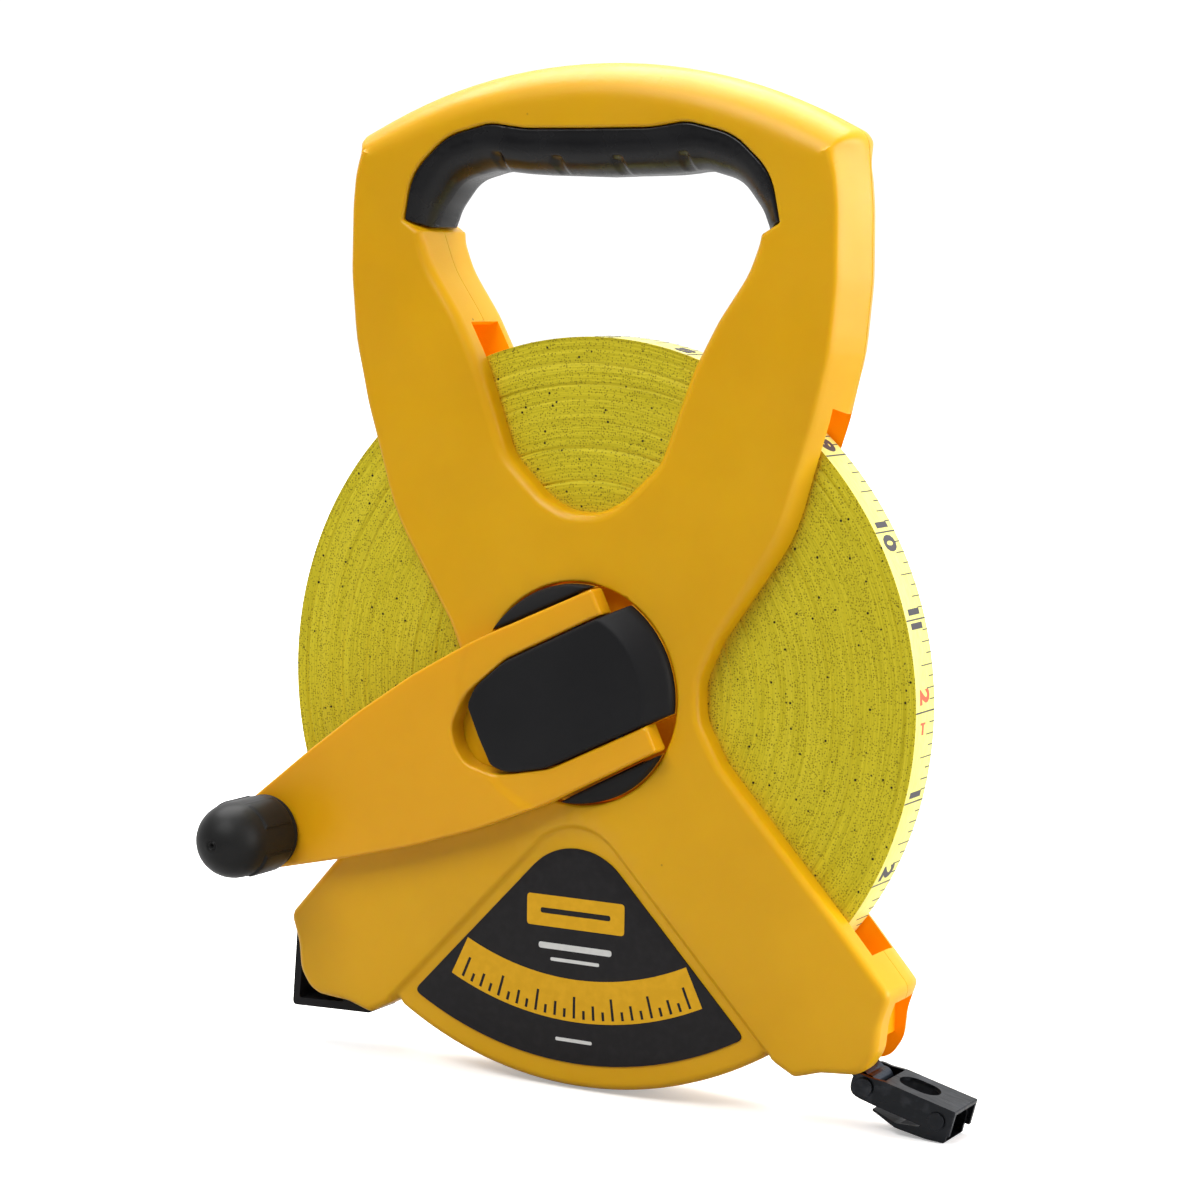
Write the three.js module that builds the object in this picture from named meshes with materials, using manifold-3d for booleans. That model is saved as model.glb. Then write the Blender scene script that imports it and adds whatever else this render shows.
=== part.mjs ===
// Open-reel surveyor's tape: a two-shell yellow frame with a handle, a turning reel of
// fibreglass tape, a folding crank and an end hook.
// Millimetres. X to the right, -Y towards the crank side, +Z up to the handle. The shells are
// drawn about the reel axis and their parting plane (y = 0); the whole object is then moved so
// that the origin is on the reel axis at the flat rear end of the axle.

import * as THREE from 'three';
import { mergeVertices } from 'three/addons/utils/BufferGeometryUtils.js';
import Module from 'manifold-3d';

const wasm = await Module();
wasm.setup();

// ---------------------------------------------------------------- driving dimensions
const HALF_THICK = 14;        // each shell, parting plane to its flat face
const PARTING_GAP = 0.1;      // each side of the parting plane
const SKIN = 3.4;             // moulded wall under the flat face
const WALL = 2.6;             // moulded perimeter wall
const EDGE_ROUND = 2;         // rounding of the outer edges
const FIT_GAP = 0.3;          // between pieces that touch on the real object

const TAPE_WIDTH = 13;
const PACK_RADIUS = 101.1;    // fully wound tape
const CORE_RADIUS = 36;       // drum that the tape is wound on
const CAVITY_RADIUS = 112;    // room for the pack inside the frame
const CAVITY_HALF = 7.5;
const BASE_RADIUS = 115;      // closed bottom between the feet

const HUB_OPENING = 32;       // round opening in the front shell
const HUB_DISC_RADIUS = 31.5;
const HUB_FACE = 13.2;        // front of the yellow hub disc
const CHANNEL_FLOOR = 6.4;    // channels that the crank's prong tips swing in
const AXLE_RADIUS = 4;

const ARM_BACK = 14.4;        // crank arm, distances in front of the parting plane
const ARM_FRONT = 21;
const ARM_ANGLE = 205.8;      // degrees, hub centre towards the knob
const PRONG_OUTER = 24.6;     // half width across both prongs
const PRONG_INNER = 16.9;     // half width of the slot between them
const PRONG_TIP = -20.3;      // along the arm, past the hub centre
const SLOT_END = 40.5;
const FOLD_AXIS = -10;        // crank hinge, along the arm
const KNOB_AT = 112.5;        // knob axis, along the arm
const ARM_END_RADIUS = 11.5;
const KNOB_RADIUS = 11.9;
const KNOB_TIP = 50;

const HOOK_PIVOT = [89.2, -103];
const HOOK_ANGLE = -14.5;     // degrees, how the end hook hangs
const HOOK_HALF_WIDTH = 8;
const HOOK_HALF_HEIGHT = 3.8;
const HOOK_SHEET = 1.1;       // steel the hook is folded from
const HOOK_START = 5.2;       // the channel's web, along the hook
const HOOK_LENGTH = 27.2;
const CLAW_PIVOT = [22.6, -0.8];
const CLAW_RIVET = 1.5;

const SCREWS = [
  [0, 168.5], [-68, 146], [68, 146], [-66, 110], [66, 110], [-85.5, -79.5], [85.5, -79.5],
];
const SCREW_SHANK = 1.5;
const SCREW_HEAD = 3.2;
const SCREW_HEAD_DEPTH = 2.2;

// ---------------------------------------------------------------- materials
const finish = (color, roughness, metalness = 0) =>
  new THREE.MeshStandardMaterial({ color, roughness, metalness });
const YELLOW = finish(0xdea514, 0.42);
const CRANK_YELLOW = finish(0xe0a01e, 0.42);
const BLACK_PLASTIC = finish(0x28282a, 0.5);
const BLACK_RUBBER = finish(0x262628, 0.62);
const TAPE = finish(0xc8b92d, 0.6);
const LABEL = finish(0x1c1c1e, 0.35);
const STEEL = finish(0xb8bbc0, 0.35, 1);
const BLACKENED_STEEL = finish(0x3a3d44, 0.4, 0.9);

// ---------------------------------------------------------------- outline helpers
const DEG = Math.PI / 180;
const ARC_STEP = 18 * DEG;

// Points of a circular arc about (cx, cz), from angle a0 to a1 in degrees.
function arc(cx, cz, radius, a0, a1, steps) {
  const points = [];
  for (let i = 0; i <= steps; i += 1) {
    const a = (a0 + ((a1 - a0) * i) / steps) * DEG;
    points.push([cx + radius * Math.cos(a), cz + radius * Math.sin(a), 0]);
  }
  return points;
}

// A right half, listed from top to bottom, joined to its mirror image into a clockwise loop.
function mirrored(half) {
  const left = half.map(([x, z, r]) => [-x, z, r]).reverse();
  const onAxis = (p) => Math.abs(p[0]) < 1e-6;
  return [...half, ...left.filter((p) => !onAxis(p))];
}

// Rounds each corner [x, z, radius] of a closed outline with an arc.
function rounded(corners) {
  const points = [];
  corners.forEach(([x, z, radius = 0], i) => {
    const before = corners[(i + corners.length - 1) % corners.length];
    const after = corners[(i + 1) % corners.length];
    const corner = new THREE.Vector2(x, z);
    const toBefore = new THREE.Vector2(before[0] - x, before[1] - z);
    const toAfter = new THREE.Vector2(after[0] - x, after[1] - z);
    const room = Math.min(toBefore.length(), toAfter.length()) * 0.49;
    toBefore.normalize();
    toAfter.normalize();
    const turn = Math.PI - Math.acos(THREE.MathUtils.clamp(toBefore.dot(toAfter), -1, 1));
    const reach = Math.min(radius * Math.tan(turn / 2), room);
    if (reach < 0.05 || turn < 0.01) {
      points.push(corner);
      return;
    }
    const steps = Math.max(1, Math.ceil(turn / ARC_STEP));
    const start = corner.clone().addScaledVector(toBefore, reach);
    const end = corner.clone().addScaledVector(toAfter, reach);
    for (let k = 0; k <= steps; k += 1) {
      const t = k / steps;
      const a = start.clone().lerp(corner, t);
      const b = corner.clone().lerp(end, t);
      points.push(a.lerp(b, t));
    }
  });
  return points;
}

// Moves the sides of a closed clockwise list of corners inwards by a distance (outwards if it is
// negative). Outer corners get a smaller radius and inner corners a larger one.
function insetCorners(corners, distance) {
  return corners.map(([x, z, radius = 0], i) => {
    const before = corners[(i + corners.length - 1) % corners.length];
    const after = corners[(i + 1) % corners.length];
    const d1 = new THREE.Vector2(x - before[0], z - before[1]).normalize();
    const d2 = new THREE.Vector2(after[0] - x, after[1] - z).normalize();
    const normal = new THREE.Vector2(d1.y + d2.y, -d1.x - d2.x).normalize();
    const spread = Math.max(0.35, normal.dot(new THREE.Vector2(d1.y, -d1.x)));
    const outer = d1.cross(d2) < 0;
    const newRadius = radius === 0 ? 0 : Math.max(0.4, radius + (outer ? -distance : distance));
    return [x + (normal.x * distance) / spread, z + (normal.y * distance) / spread, newRadius];
  });
}

// ---------------------------------------------------------------- solid helpers
function toSolid(geometry) {
  const bare = geometry.clone();
  bare.deleteAttribute('normal');
  bare.deleteAttribute('uv');
  const merged = mergeVertices(bare, 1e-4);
  const triangles = [];
  for (let i = 0; i < merged.index.count; i += 3) {
    const [a, b, c] = [0, 1, 2].map((k) => merged.index.getX(i + k));
    if (a !== b && b !== c && c !== a) triangles.push(a, b, c);
  }
  return new wasm.Manifold(new wasm.Mesh({
    numProp: 3,
    vertProperties: new Float32Array(merged.attributes.position.array),
    triVerts: new Uint32Array(triangles),
  }));
}

function toGeometry(solid) {
  const { vertProperties, triVerts } = solid.getMesh();
  const geometry = new THREE.BufferGeometry();
  geometry.setAttribute('position', new THREE.BufferAttribute(new Float32Array(vertProperties), 3));
  geometry.setIndex(new THREE.BufferAttribute(new Uint32Array(triVerts), 1));
  geometry.computeVertexNormals();
  return geometry;
}

// A slab whose outline lies in the X-Z plane, from y = front to y = back, edges rounded by bevel.
function slab(outline, front, back, bevel = 0) {
  const geometry = new THREE.ExtrudeGeometry(new THREE.Shape(outline), {
    depth: back - front - 2 * bevel,
    bevelEnabled: bevel > 0,
    bevelThickness: bevel,
    bevelSize: bevel,
    bevelOffset: -bevel,
    bevelSegments: 2,
    curveSegments: 1,
  });
  geometry.rotateX(Math.PI / 2);
  geometry.translate(0, back - bevel, 0);
  return toSolid(geometry);
}

// A cylinder along Y.
function rod(x, z, radius, front, back, sides = 32) {
  const geometry = new THREE.CylinderGeometry(radius, radius, back - front, sides);
  geometry.translate(x, (front + back) / 2, z);
  return toSolid(geometry);
}

// A solid of revolution about the Y axis through (x, z). The profile's [radius, y] pairs go round
// the section once, either way; it closes on itself or starts and ends on the axis.
function turned(x, z, profile, segments = 32) {
  const section = profile.map(([r, y]) => new THREE.Vector2(r, y));
  if (THREE.ShapeUtils.area(section) < 0) section.reverse();
  const solidCore = section.filter((p) => p.x === 0).length === 2;
  while (solidCore && !(section[0].x === 0 && section[section.length - 1].x === 0)) {
    section.push(section.shift());
  }
  if (!solidCore) section.push(section[0]);
  const geometry = new THREE.LatheGeometry(section, segments);
  geometry.translate(x, 0, z);
  return toSolid(geometry);
}

function block(x0, x1, y0, y1, z0, z1) {
  const geometry = new THREE.BoxGeometry(x1 - x0, y1 - y0, z1 - z0);
  geometry.translate((x0 + x1) / 2, (y0 + y1) / 2, (z0 + z1) / 2);
  return toSolid(geometry);
}

const joined = (solids) => solids.reduce((all, one) => all.add(one));
const cutBy = (solid, cutters) => cutters.reduce((left, one) => left.subtract(one), solid);

const group = new THREE.Group();

function place(name, solid, material, parent = group) {
  const mesh = new THREE.Mesh(toGeometry(solid), material);
  mesh.name = name;
  parent.add(mesh);
}

// ---------------------------------------------------------------- frame outlines
// Right half of the frame from the top of the handle to the bottom: [x, z, corner radius].
const FRAME_HALF = [
  ...arc(0, 12, 166, 90, 65, 6),
  [80, 157.6, 6], [81.9, 138, 60], [82.2, 118, 60], [80.4, 98, 60], [75.8, 79, 60],
  [64.5, 47.5, 60], [43.5, 17.5, 22], [38.2, 6, 14], [38.6, -5, 14], [45.5, -17, 20],
  [84, -58.6, 0], [98.6, -75.2, 4], [95.8, -83.5, 12], [95, -92, 10], [90.5, -98.6, 9],
  [78, -99.6, 8], [70, -102, 3], [60.2, -96.8, 2],
  ...arc(0, 0, BASE_RADIUS, -58.7, -90, 8),
];
const FRAME_CORNERS = mirrored(FRAME_HALF);
const FRAME_OUTLINE = rounded(FRAME_CORNERS);

// Right half of the opening: the grip's seat above, then the window that narrows into a U.
const OPENING_HALF = [
  [0, 159.3, 0], [20, 159.4, 30], [31.5, 161, 14], [46, 157.5, 20], [57.5, 147, 18],
  [60.4, 133.4, 0.8], [54.6, 130.3, 1.5], [50.6, 119.5, 30], [41.6, 106.5, 40], [34.4, 93, 40],
  [24.6, 66.5, 14], [12.6, 55.2, 18], [5, 51.5, 14],
];
const OPENING_CORNERS = mirrored(OPENING_HALF);
const OPENING_OUTLINE = rounded(OPENING_CORNERS);

// Rubber grip under the handle: outer edge against its seat, inner edge around the fingers.
const GRIP_SEAT_HALF = OPENING_HALF.slice(0, 6);
const GRIP_FINGER_HALF = [
  [0, 145.8, 0], [22, 146.4, 40], [34, 147.6, 14], [45, 144.6, 12], [51.3, 136.5, 12],
  [53.6, 130.6, 1.5],
];
function gripOutline() {
  const right = [...GRIP_SEAT_HALF, ...[...GRIP_FINGER_HALF].reverse()];
  return rounded(insetCorners(mirrored(right), FIT_GAP));
}

// Recessed panel between the feet, and the plate stuck into it.
const PANEL_HALF = [...arc(0, -55.3, 16.8, 90, 43.6, 4), [62.5, -96.5, 0], [66, -120, 0]];
const LABEL_HALF = [...arc(0, -59.4, 16, 90, 43.7, 4), [54.5, -93.2, 2.5]];
const LABEL_RADIUS = 107.9;
const PANEL_DEPTH = 1.6;

// ---------------------------------------------------------------- shells
const BOSS_RADIUS = 3.9;
function screwBosses(side) {
  const root = HALF_THICK - SKIN + 0.5;
  return SCREWS.map(([x, z]) => {
    const [front, back] = [side * PARTING_GAP, side * root].sort((a, b) => a - b);
    return rod(x, z, BOSS_RADIUS, front, back, 16);
  });
}

// One hollow half of the frame; side is -1 at the front and +1 at the rear.
function shell(side) {
  const near = side < 0 ? -HALF_THICK : PARTING_GAP;
  const far = side < 0 ? -PARTING_GAP : HALF_THICK;
  const full = slab(FRAME_OUTLINE, -HALF_THICK, HALF_THICK, EDGE_ROUND);
  const keep = block(-150, 150, near, far, -150, 200);
  const depth = HALF_THICK - SKIN;
  const ends = [-side, side * depth].sort((a, b) => a - b);
  const pocket = slab(rounded(insetCorners(FRAME_CORNERS, WALL)), ends[0], ends[1])
    .subtract(slab(rounded(insetCorners(OPENING_CORNERS, -WALL)), -HALF_THICK, HALF_THICK));
  const opening = slab(OPENING_OUTLINE, -HALF_THICK - 1, HALF_THICK + 1);
  let solid = full.intersect(keep).subtract(pocket).subtract(opening);
  solid = joined([solid, ...screwBosses(side)]);
  const panel = slab(rounded(mirrored(PANEL_HALF)), 0, 10);
  const panelAt = side < 0 ? -HALF_THICK + PANEL_DEPTH - 10 : HALF_THICK - PANEL_DEPTH;
  return cutBy(solid, [
    rod(0, 0, CAVITY_RADIUS, -CAVITY_HALF, CAVITY_HALF, 72),
    panel.translate([0, panelAt, 0]),
    ...mouthCutters(),
  ]);
}

// The tape leaves through a mouth in the right foot; the left foot has the same one, plugged.
const MOUTH_HALF = 7.2;
const MOUTH_OUTLINE = [
  [91.5, -78.5], [106, -78.5], [106, -108], [79, -108], [79, -93.5], [91.5, -90],
];
function mouthCutters() {
  const points = (sign) => MOUTH_OUTLINE.map(([x, z]) => new THREE.Vector2(sign * x, z));
  return [
    slab(points(1), -MOUTH_HALF, MOUTH_HALF),
    slab(points(-1).reverse(), -MOUTH_HALF, MOUTH_HALF),
  ];
}

function frontShell() {
  const collar = rod(0, 0, HUB_OPENING + 3, -HALF_THICK + 0.5, -CAVITY_HALF - 0.4, 64);
  const pilots = SCREWS.map(([x, z]) => rod(x, z, SCREW_SHANK + FIT_GAP, -9.2, 1, 12));
  return cutBy(shell(-1).add(collar), [rod(0, 0, HUB_OPENING, -30, 5, 72), ...pilots]);
}

const AXLE_HEAD_RADIUS = 9;
const AXLE_HEAD_DEPTH = 2;
function rearShell() {
  const boss = rod(0, 0, 14, CAVITY_HALF - 0.2, HALF_THICK - 0.5, 48);
  const axleHole = rod(0, 0, AXLE_RADIUS + FIT_GAP, -5, 20, 32);
  const seatDepth = HALF_THICK - AXLE_HEAD_DEPTH - FIT_GAP;
  const axleSeat = rod(0, 0, AXLE_HEAD_RADIUS + FIT_GAP, seatDepth, 20, 40);
  const screwHoles = SCREWS.flatMap(([x, z]) => [
    rod(x, z, SCREW_SHANK + FIT_GAP, -1, 20, 12),
    rod(x, z, SCREW_HEAD + FIT_GAP, HALF_THICK - SCREW_HEAD_DEPTH - 2 * FIT_GAP, 20, 16),
  ]);
  return cutBy(shell(1).add(boss), [axleHole, axleSeat, ...screwHoles]);
}

place('front_shell', frontShell(), YELLOW);
place('rear_shell', rearShell(), YELLOW);
place('handle_grip', slab(gripOutline(), -HALF_THICK, HALF_THICK), BLACK_RUBBER);

SCREWS.forEach(([x, z], i) => {
  const top = HALF_THICK - FIT_GAP;
  const driveSlot = block(x - 2.2, x + 2.2, top - 0.9, top + 1, z - 0.5, z + 0.5);
  const screw = rod(x, z, SCREW_HEAD, top - SCREW_HEAD_DEPTH, top, 16)
    .add(rod(x, z, SCREW_SHANK, -8.6, top - 1, 12))
    .subtract(driveSlot);
  place(`shell_screw_${i + 1}`, screw, STEEL);
});

// ---------------------------------------------------------------- labels
function labelPlate(side) {
  const edge = arc(0, 0, LABEL_RADIUS, -62.5, -90, 8);
  const outline = rounded(mirrored([...LABEL_HALF, ...edge]));
  const inner = HALF_THICK - PANEL_DEPTH + 0.05;
  const ends = [side * inner, side * (inner + 0.5)].sort((a, b) => a - b);
  return slab(outline, ends[0], ends[1]);
}
place('front_label', labelPlate(-1), LABEL);
place('rear_label', labelPlate(1), LABEL);

// ---------------------------------------------------------------- left foot insert
// A square-cornered black shoe in the left foot's mouth, hollowed from the front.
function footInsert() {
  const gap = FIT_GAP;
  const outer = rounded([
    [-92, -79.2, 0.5], [-100.4, -80, 1], [-102, -105, 1.4], [-73, -104, 0.8], [-76, -100.6, 0.4],
    [-81.6, -99.6, 0], [-81.6, -94.2, 0.4], [-92, -90.6, 0.4],
  ].reverse());
  const pocket = rounded([
    [-93.8, -89, 0.5], [-98.4, -89, 0.8], [-99.6, -102.6, 0.8], [-83.4, -101.8, 0.8],
    [-83.4, -96, 0.5], [-92.2, -92.8, 0.5],
  ].reverse());
  return slab(outer, -MOUTH_HALF + gap, MOUTH_HALF - gap).subtract(slab(pocket, -10, 3));
}
place('foot_insert', footInsert(), BLACK_PLASTIC);

// ---------------------------------------------------------------- reel
const DRUM_HALF = TAPE_WIDTH / 2 + 0.3;
const AXLE_BUSH_RADIUS = 6;
function armLocal(solid) {
  return solid.rotate([0, -ARM_ANGLE, 0]);
}

function channel(sign) {
  const low = sign > 0 ? PRONG_INNER - 0.4 : -PRONG_OUTER - 0.6;
  const high = sign > 0 ? PRONG_OUTER + 0.6 : -PRONG_INNER + 0.4;
  return armLocal(block(-40, 8, -30, -CHANNEL_FLOOR, low, high));
}

function spoolDrum() {
  const body = turned(0, 0, [
    [AXLE_BUSH_RADIUS + FIT_GAP, -HUB_FACE], [HUB_DISC_RADIUS, -HUB_FACE],
    [HUB_DISC_RADIUS, -DRUM_HALF], [CORE_RADIUS - FIT_GAP, -DRUM_HALF],
    [CORE_RADIUS - FIT_GAP, DRUM_HALF], [CORE_RADIUS - 4, DRUM_HALF], [CORE_RADIUS - 4, -3],
    [14, -3], [14, DRUM_HALF], [AXLE_BUSH_RADIUS + FIT_GAP, DRUM_HALF],
  ], 60);
  return cutBy(body, [channel(1), channel(-1)]);
}

place('spool_drum', spoolDrum(), YELLOW);
place('tape_pack', turned(0, 0, [
  [CORE_RADIUS, -TAPE_WIDTH / 2], [PACK_RADIUS, -TAPE_WIDTH / 2], [PACK_RADIUS, TAPE_WIDTH / 2],
  [CORE_RADIUS, TAPE_WIDTH / 2],
], 72), TAPE);

const AXLE_FRONT = 12.6;
place('axle_bush', turned(0, 0, [
  [AXLE_RADIUS + 0.05, -AXLE_FRONT + 0.6], [AXLE_BUSH_RADIUS, -AXLE_FRONT + 0.6],
  [AXLE_BUSH_RADIUS, DRUM_HALF], [AXLE_RADIUS + 0.05, DRUM_HALF],
], 32), finish(0xe8e4d8, 0.5));

const AXLE_SCREW_RADIUS = 1.8;
place('axle', rod(0, 0, AXLE_RADIUS, -AXLE_FRONT, HALF_THICK - 0.5, 32)
  .add(rod(0, 0, AXLE_HEAD_RADIUS, HALF_THICK - AXLE_HEAD_DEPTH, HALF_THICK, 40))
  .subtract(rod(0, 0, AXLE_SCREW_RADIUS + FIT_GAP, -30, -2, 20)), STEEL);

const washer = (bore, outer, front, back) => turned(0, 0, [
  [bore, front], [outer, front], [outer, back], [bore, back],
], 32);
const WASHER_FRONT = HUB_FACE + 0.2;
const WASHER_THICK = 0.8;
const rearBore = AXLE_RADIUS + FIT_GAP;
const frontBore = AXLE_SCREW_RADIUS + FIT_GAP;
place('rear_washer', washer(rearBore, 9.5, DRUM_HALF + 0.1, CAVITY_HALF - FIT_GAP), STEEL);
place('front_washer', washer(frontBore, 8, -WASHER_FRONT - WASHER_THICK, -WASHER_FRONT), STEEL);
place('axle_screw', rod(0, 0, AXLE_SCREW_RADIUS, -WASHER_FRONT - 2, -4, 18)
  .add(rod(0, 0, 3.4, -WASHER_FRONT - 3, -WASHER_FRONT - 0.95, 24))
  .subtract(block(-2.4, 2.4, -WASHER_FRONT - 4, -WASHER_FRONT - 2.2, -0.5, 0.5)), STEEL);

// ---------------------------------------------------------------- crank, in its own frame
// Along the arm is x, across it is z. The slot ends in a round arch about the hub cap.
const SLOT_HALF = [
  [PRONG_TIP - 5, PRONG_INNER, 0], [14, PRONG_INNER, 12], [31, 12.6, 12], [39.2, 6, 8],
  [SLOT_END, 0, 9],
];
const closedAbout = (half) => {
  const below = half.filter(([, z]) => z > 0).map(([x, z, r]) => [x, -z, r]);
  return [...half, ...below.reverse()];
};
const SLOT_CORNERS = closedAbout(SLOT_HALF);
const SLOT_OUTLINE = rounded(SLOT_CORNERS);
const ARM_HALF = [
  [PRONG_TIP, PRONG_OUTER, 1.2], [20, 25.8, 60], [45, 24.4, 80], [68, 21.2, 80], [92, 16.4, 60],
];
const ARM_CORNERS = [
  ...ARM_HALF, ...arc(KNOB_AT, 0, ARM_END_RADIUS, 70, -70, 8),
  ...[...ARM_HALF].reverse().map(([x, z, r]) => [x, -z, r]),
];
const ARM_OUTLINE = rounded(ARM_CORNERS);
const FOLD_DEPTH = (ARM_BACK + ARM_FRONT) / 2;
const PIN_RADIUS = 1.5;
const PIN_START = 13;         // hinge pins: in the cap, and in blind holes in the prongs
const PIN_END = 22.4;

// A bar across the arm, on the crank's hinge axis.
function hingeBar(radius, from, to) {
  const geometry = new THREE.CylinderGeometry(radius, radius, to - from, 20);
  geometry.rotateX(Math.PI / 2);
  geometry.translate(FOLD_AXIS, -FOLD_DEPTH, (from + to) / 2);
  return toSolid(geometry);
}

function crankArm() {
  const plate = slab(ARM_OUTLINE, -ARM_FRONT, -ARM_BACK, 0.8);
  const slot = slab(SLOT_OUTLINE, -ARM_FRONT - 5, -ARM_BACK + 5);
  const relief = block(PRONG_TIP - 1, PRONG_TIP + 2.4, -ARM_BACK - 1.6, -ARM_BACK + 1, -30, 30);
  const spindleHole = rod(KNOB_AT, 0, 3 + FIT_GAP, -40, 0, 24);
  const pinHoles = hingeBar(PIN_RADIUS + FIT_GAP, -PIN_END - FIT_GAP, PIN_END + FIT_GAP);
  return cutBy(plate, [slot, relief, spindleHole, pinHoles]);
}

// The cap fills the slot up to a straight end and runs out to the hub opening.
const CAP_TOP = 21.4;
const CAP_END = 31.5;
function hubCap() {
  const plate = slab(rounded(insetCorners(SLOT_CORNERS, 0.5)), -CAP_TOP, -HUB_FACE - FIT_GAP, 0.8);
  const disc = turned(0, 0, [
    [0, -CAP_TOP - 1], [24.5, -CAP_TOP - 1], [24.5, -CAP_TOP], [HUB_DISC_RADIUS, -HUB_FACE - 1],
    [HUB_DISC_RADIUS, -HUB_FACE - FIT_GAP], [0, -HUB_FACE - FIT_GAP],
  ], 72);
  const reach = block(-40, CAP_END, -30, 0, -PRONG_INNER, PRONG_INNER);
  const rim = slab(rounded(closedAbout(
    [[-32, PRONG_INNER - 0.5, 1.2], [2, PRONG_INNER - 0.5, 1.2]],
  )), -CAP_TOP, -HUB_FACE - FIT_GAP, 0.8);
  const forward = plate.intersect(block(0, CAP_END, -30, 0, -20, 20));
  const screwRoom = rod(0, 0, 9, -WASHER_FRONT - 3.6, 0, 28);
  const shellFace = rod(0, 0, 50, -HALF_THICK - FIT_GAP, 0, 24)
    .subtract(rod(0, 0, HUB_DISC_RADIUS, -20, 1, 72));
  return cutBy(rim.intersect(disc).add(forward).intersect(reach), [
    screwRoom, shellFace,
    hingeBar(PIN_RADIUS + FIT_GAP, -30, -PIN_START + 0.5),
    hingeBar(PIN_RADIUS + FIT_GAP, PIN_START - 0.5, 30),
  ]);
}

// The hub segments stand clear of the arm, both as it lies now and folded over its hinge.
const SEGMENT_TOP = 17.6;
function hubSegment(sign) {
  const side = PRONG_OUTER + 0.6;
  const disc = rod(0, 0, HUB_DISC_RADIUS, -SEGMENT_TOP - 1, -HUB_FACE - FIT_GAP, 72);
  const span = sign > 0 ? [side, 40] : [-40, -side];
  const slope = block(-60, 60, -12, 0, -60, 60).rotate([sign * 9, 0, 0])
    .translate([0, -SEGMENT_TOP, sign * side]);
  const armRoom = slab(rounded(insetCorners(ARM_CORNERS, -0.5)), -30, -HUB_FACE + 1);
  const foldedRoom = armRoom.mirror([1, 0, 0]).translate([2 * FOLD_AXIS, 0, 0]);
  return cutBy(disc.intersect(block(-40, 40, -40, 0, span[0], span[1])), [
    slope, armRoom, foldedRoom,
  ]);
}

const crank = new THREE.Group();
crank.rotation.y = -ARM_ANGLE * DEG;
group.add(crank);
place('crank_arm', crankArm(), CRANK_YELLOW, crank);
place('hub_cap', hubCap(), BLACK_PLASTIC, crank);
place('hub_segment_upper', hubSegment(-1), BLACK_PLASTIC, crank);
place('hub_segment_lower', hubSegment(1), BLACK_PLASTIC, crank);
place('crank_hinge_pin_upper', hingeBar(PIN_RADIUS, -PIN_END, -PIN_START), STEEL, crank);
place('crank_hinge_pin_lower', hingeBar(PIN_RADIUS, PIN_START, PIN_END), STEEL, crank);

const SPINDLE_RADIUS = 2.6;
place('knob_spindle', rod(KNOB_AT, 0, SPINDLE_RADIUS, -40, -ARM_BACK, 20)
  .add(rod(KNOB_AT, 0, 4.6, -42, -40, 24)), STEEL, crank);
place('crank_knob', turned(KNOB_AT, 0, [
  [3, -ARM_FRONT - 0.5], [10.2, -ARM_FRONT - 0.5], [11.2, -ARM_FRONT - 1.5], [11.3, -24],
  [KNOB_RADIUS, -27], [KNOB_RADIUS, -39], [11.2, -43], [9.6, -46.4], [6.6, -48.9],
  [2.6, -KNOB_TIP], [0, -KNOB_TIP], [0, -42.5], [5, -42.5], [5, -39.6], [3, -39.6],
], 28), BLACK_PLASTIC, crank);

// ---------------------------------------------------------------- tape end
// The free end leaves the pack inside the base, rises over the right foot's sill and drops to
// the hook, where a folded steel loop holds it.
const TAPE_THICK = 0.5;
const TAIL_ROUTE = [
  [16, -100.9], [30, -99], [44, -96.2], [55, -93], [63, -90.9], [70, -90.4], [77, -92.4], [83, -97.2],
];
function tapeTail() {
  const line = new THREE.CatmullRomCurve3(TAIL_ROUTE.map(([x, z]) => new THREE.Vector3(x, z, 0)));
  const steps = 24;
  const upper = [];
  const lower = [];
  for (let i = 0; i <= steps; i += 1) {
    const at = line.getPoint(i / steps);
    const along = line.getTangent(i / steps);
    const across = new THREE.Vector2(-along.y, along.x).multiplyScalar(TAPE_THICK / 2);
    upper.push(new THREE.Vector2(at.x + across.x, at.y + across.y));
    lower.push(new THREE.Vector2(at.x - across.x, at.y - across.y));
  }
  return slab([...upper, ...lower.reverse()], -TAPE_WIDTH / 2, TAPE_WIDTH / 2);
}
place('tape_tail', tapeTail(), finish(0xf0ea90, 0.5));

const [PIVOT_X, PIVOT_Z] = HOOK_PIVOT;
const LOOP_RADIUS = 3.1;
const LOOP_HALF = 5.6;
function endLoop() {
  const barrel = rod(PIVOT_X, PIVOT_Z, LOOP_RADIUS, -LOOP_HALF, LOOP_HALF, 24);
  const [endX, endZ] = TAIL_ROUTE[TAIL_ROUTE.length - 1];
  const tongue = slab(rounded([
    [endX - 1.6, endZ + 2.9, 0.2], [endX + 1.4, endZ + 1.6, 0.4], [PIVOT_X + 1, PIVOT_Z + 2.2, 0],
    [PIVOT_X - 1.5, PIVOT_Z - 0.5, 0], [endX - 1.4, endZ - 1.2, 0.2],
  ]), -LOOP_HALF, LOOP_HALF);
  const pinHole = rod(PIVOT_X, PIVOT_Z, PIN_RADIUS + FIT_GAP, -20, 20, 20);
  return cutBy(barrel.add(tongue), [pinHole, tailRoom()]);
}
// The slit in the loop's tongue that the tape's end sits in.
function tailRoom() {
  const [endX, endZ] = TAIL_ROUTE[TAIL_ROUTE.length - 1];
  const [lastX, lastZ] = TAIL_ROUTE[TAIL_ROUTE.length - 2];
  const slope = Math.atan2(lastZ - endZ, endX - lastX) / DEG;
  return block(-6, 0.6, -8, 8, -0.75, 0.75).rotate([0, slope, 0]).translate([endX, 0, endZ]);
}
place('tape_end_loop', endLoop(), BLACKENED_STEEL);

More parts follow.
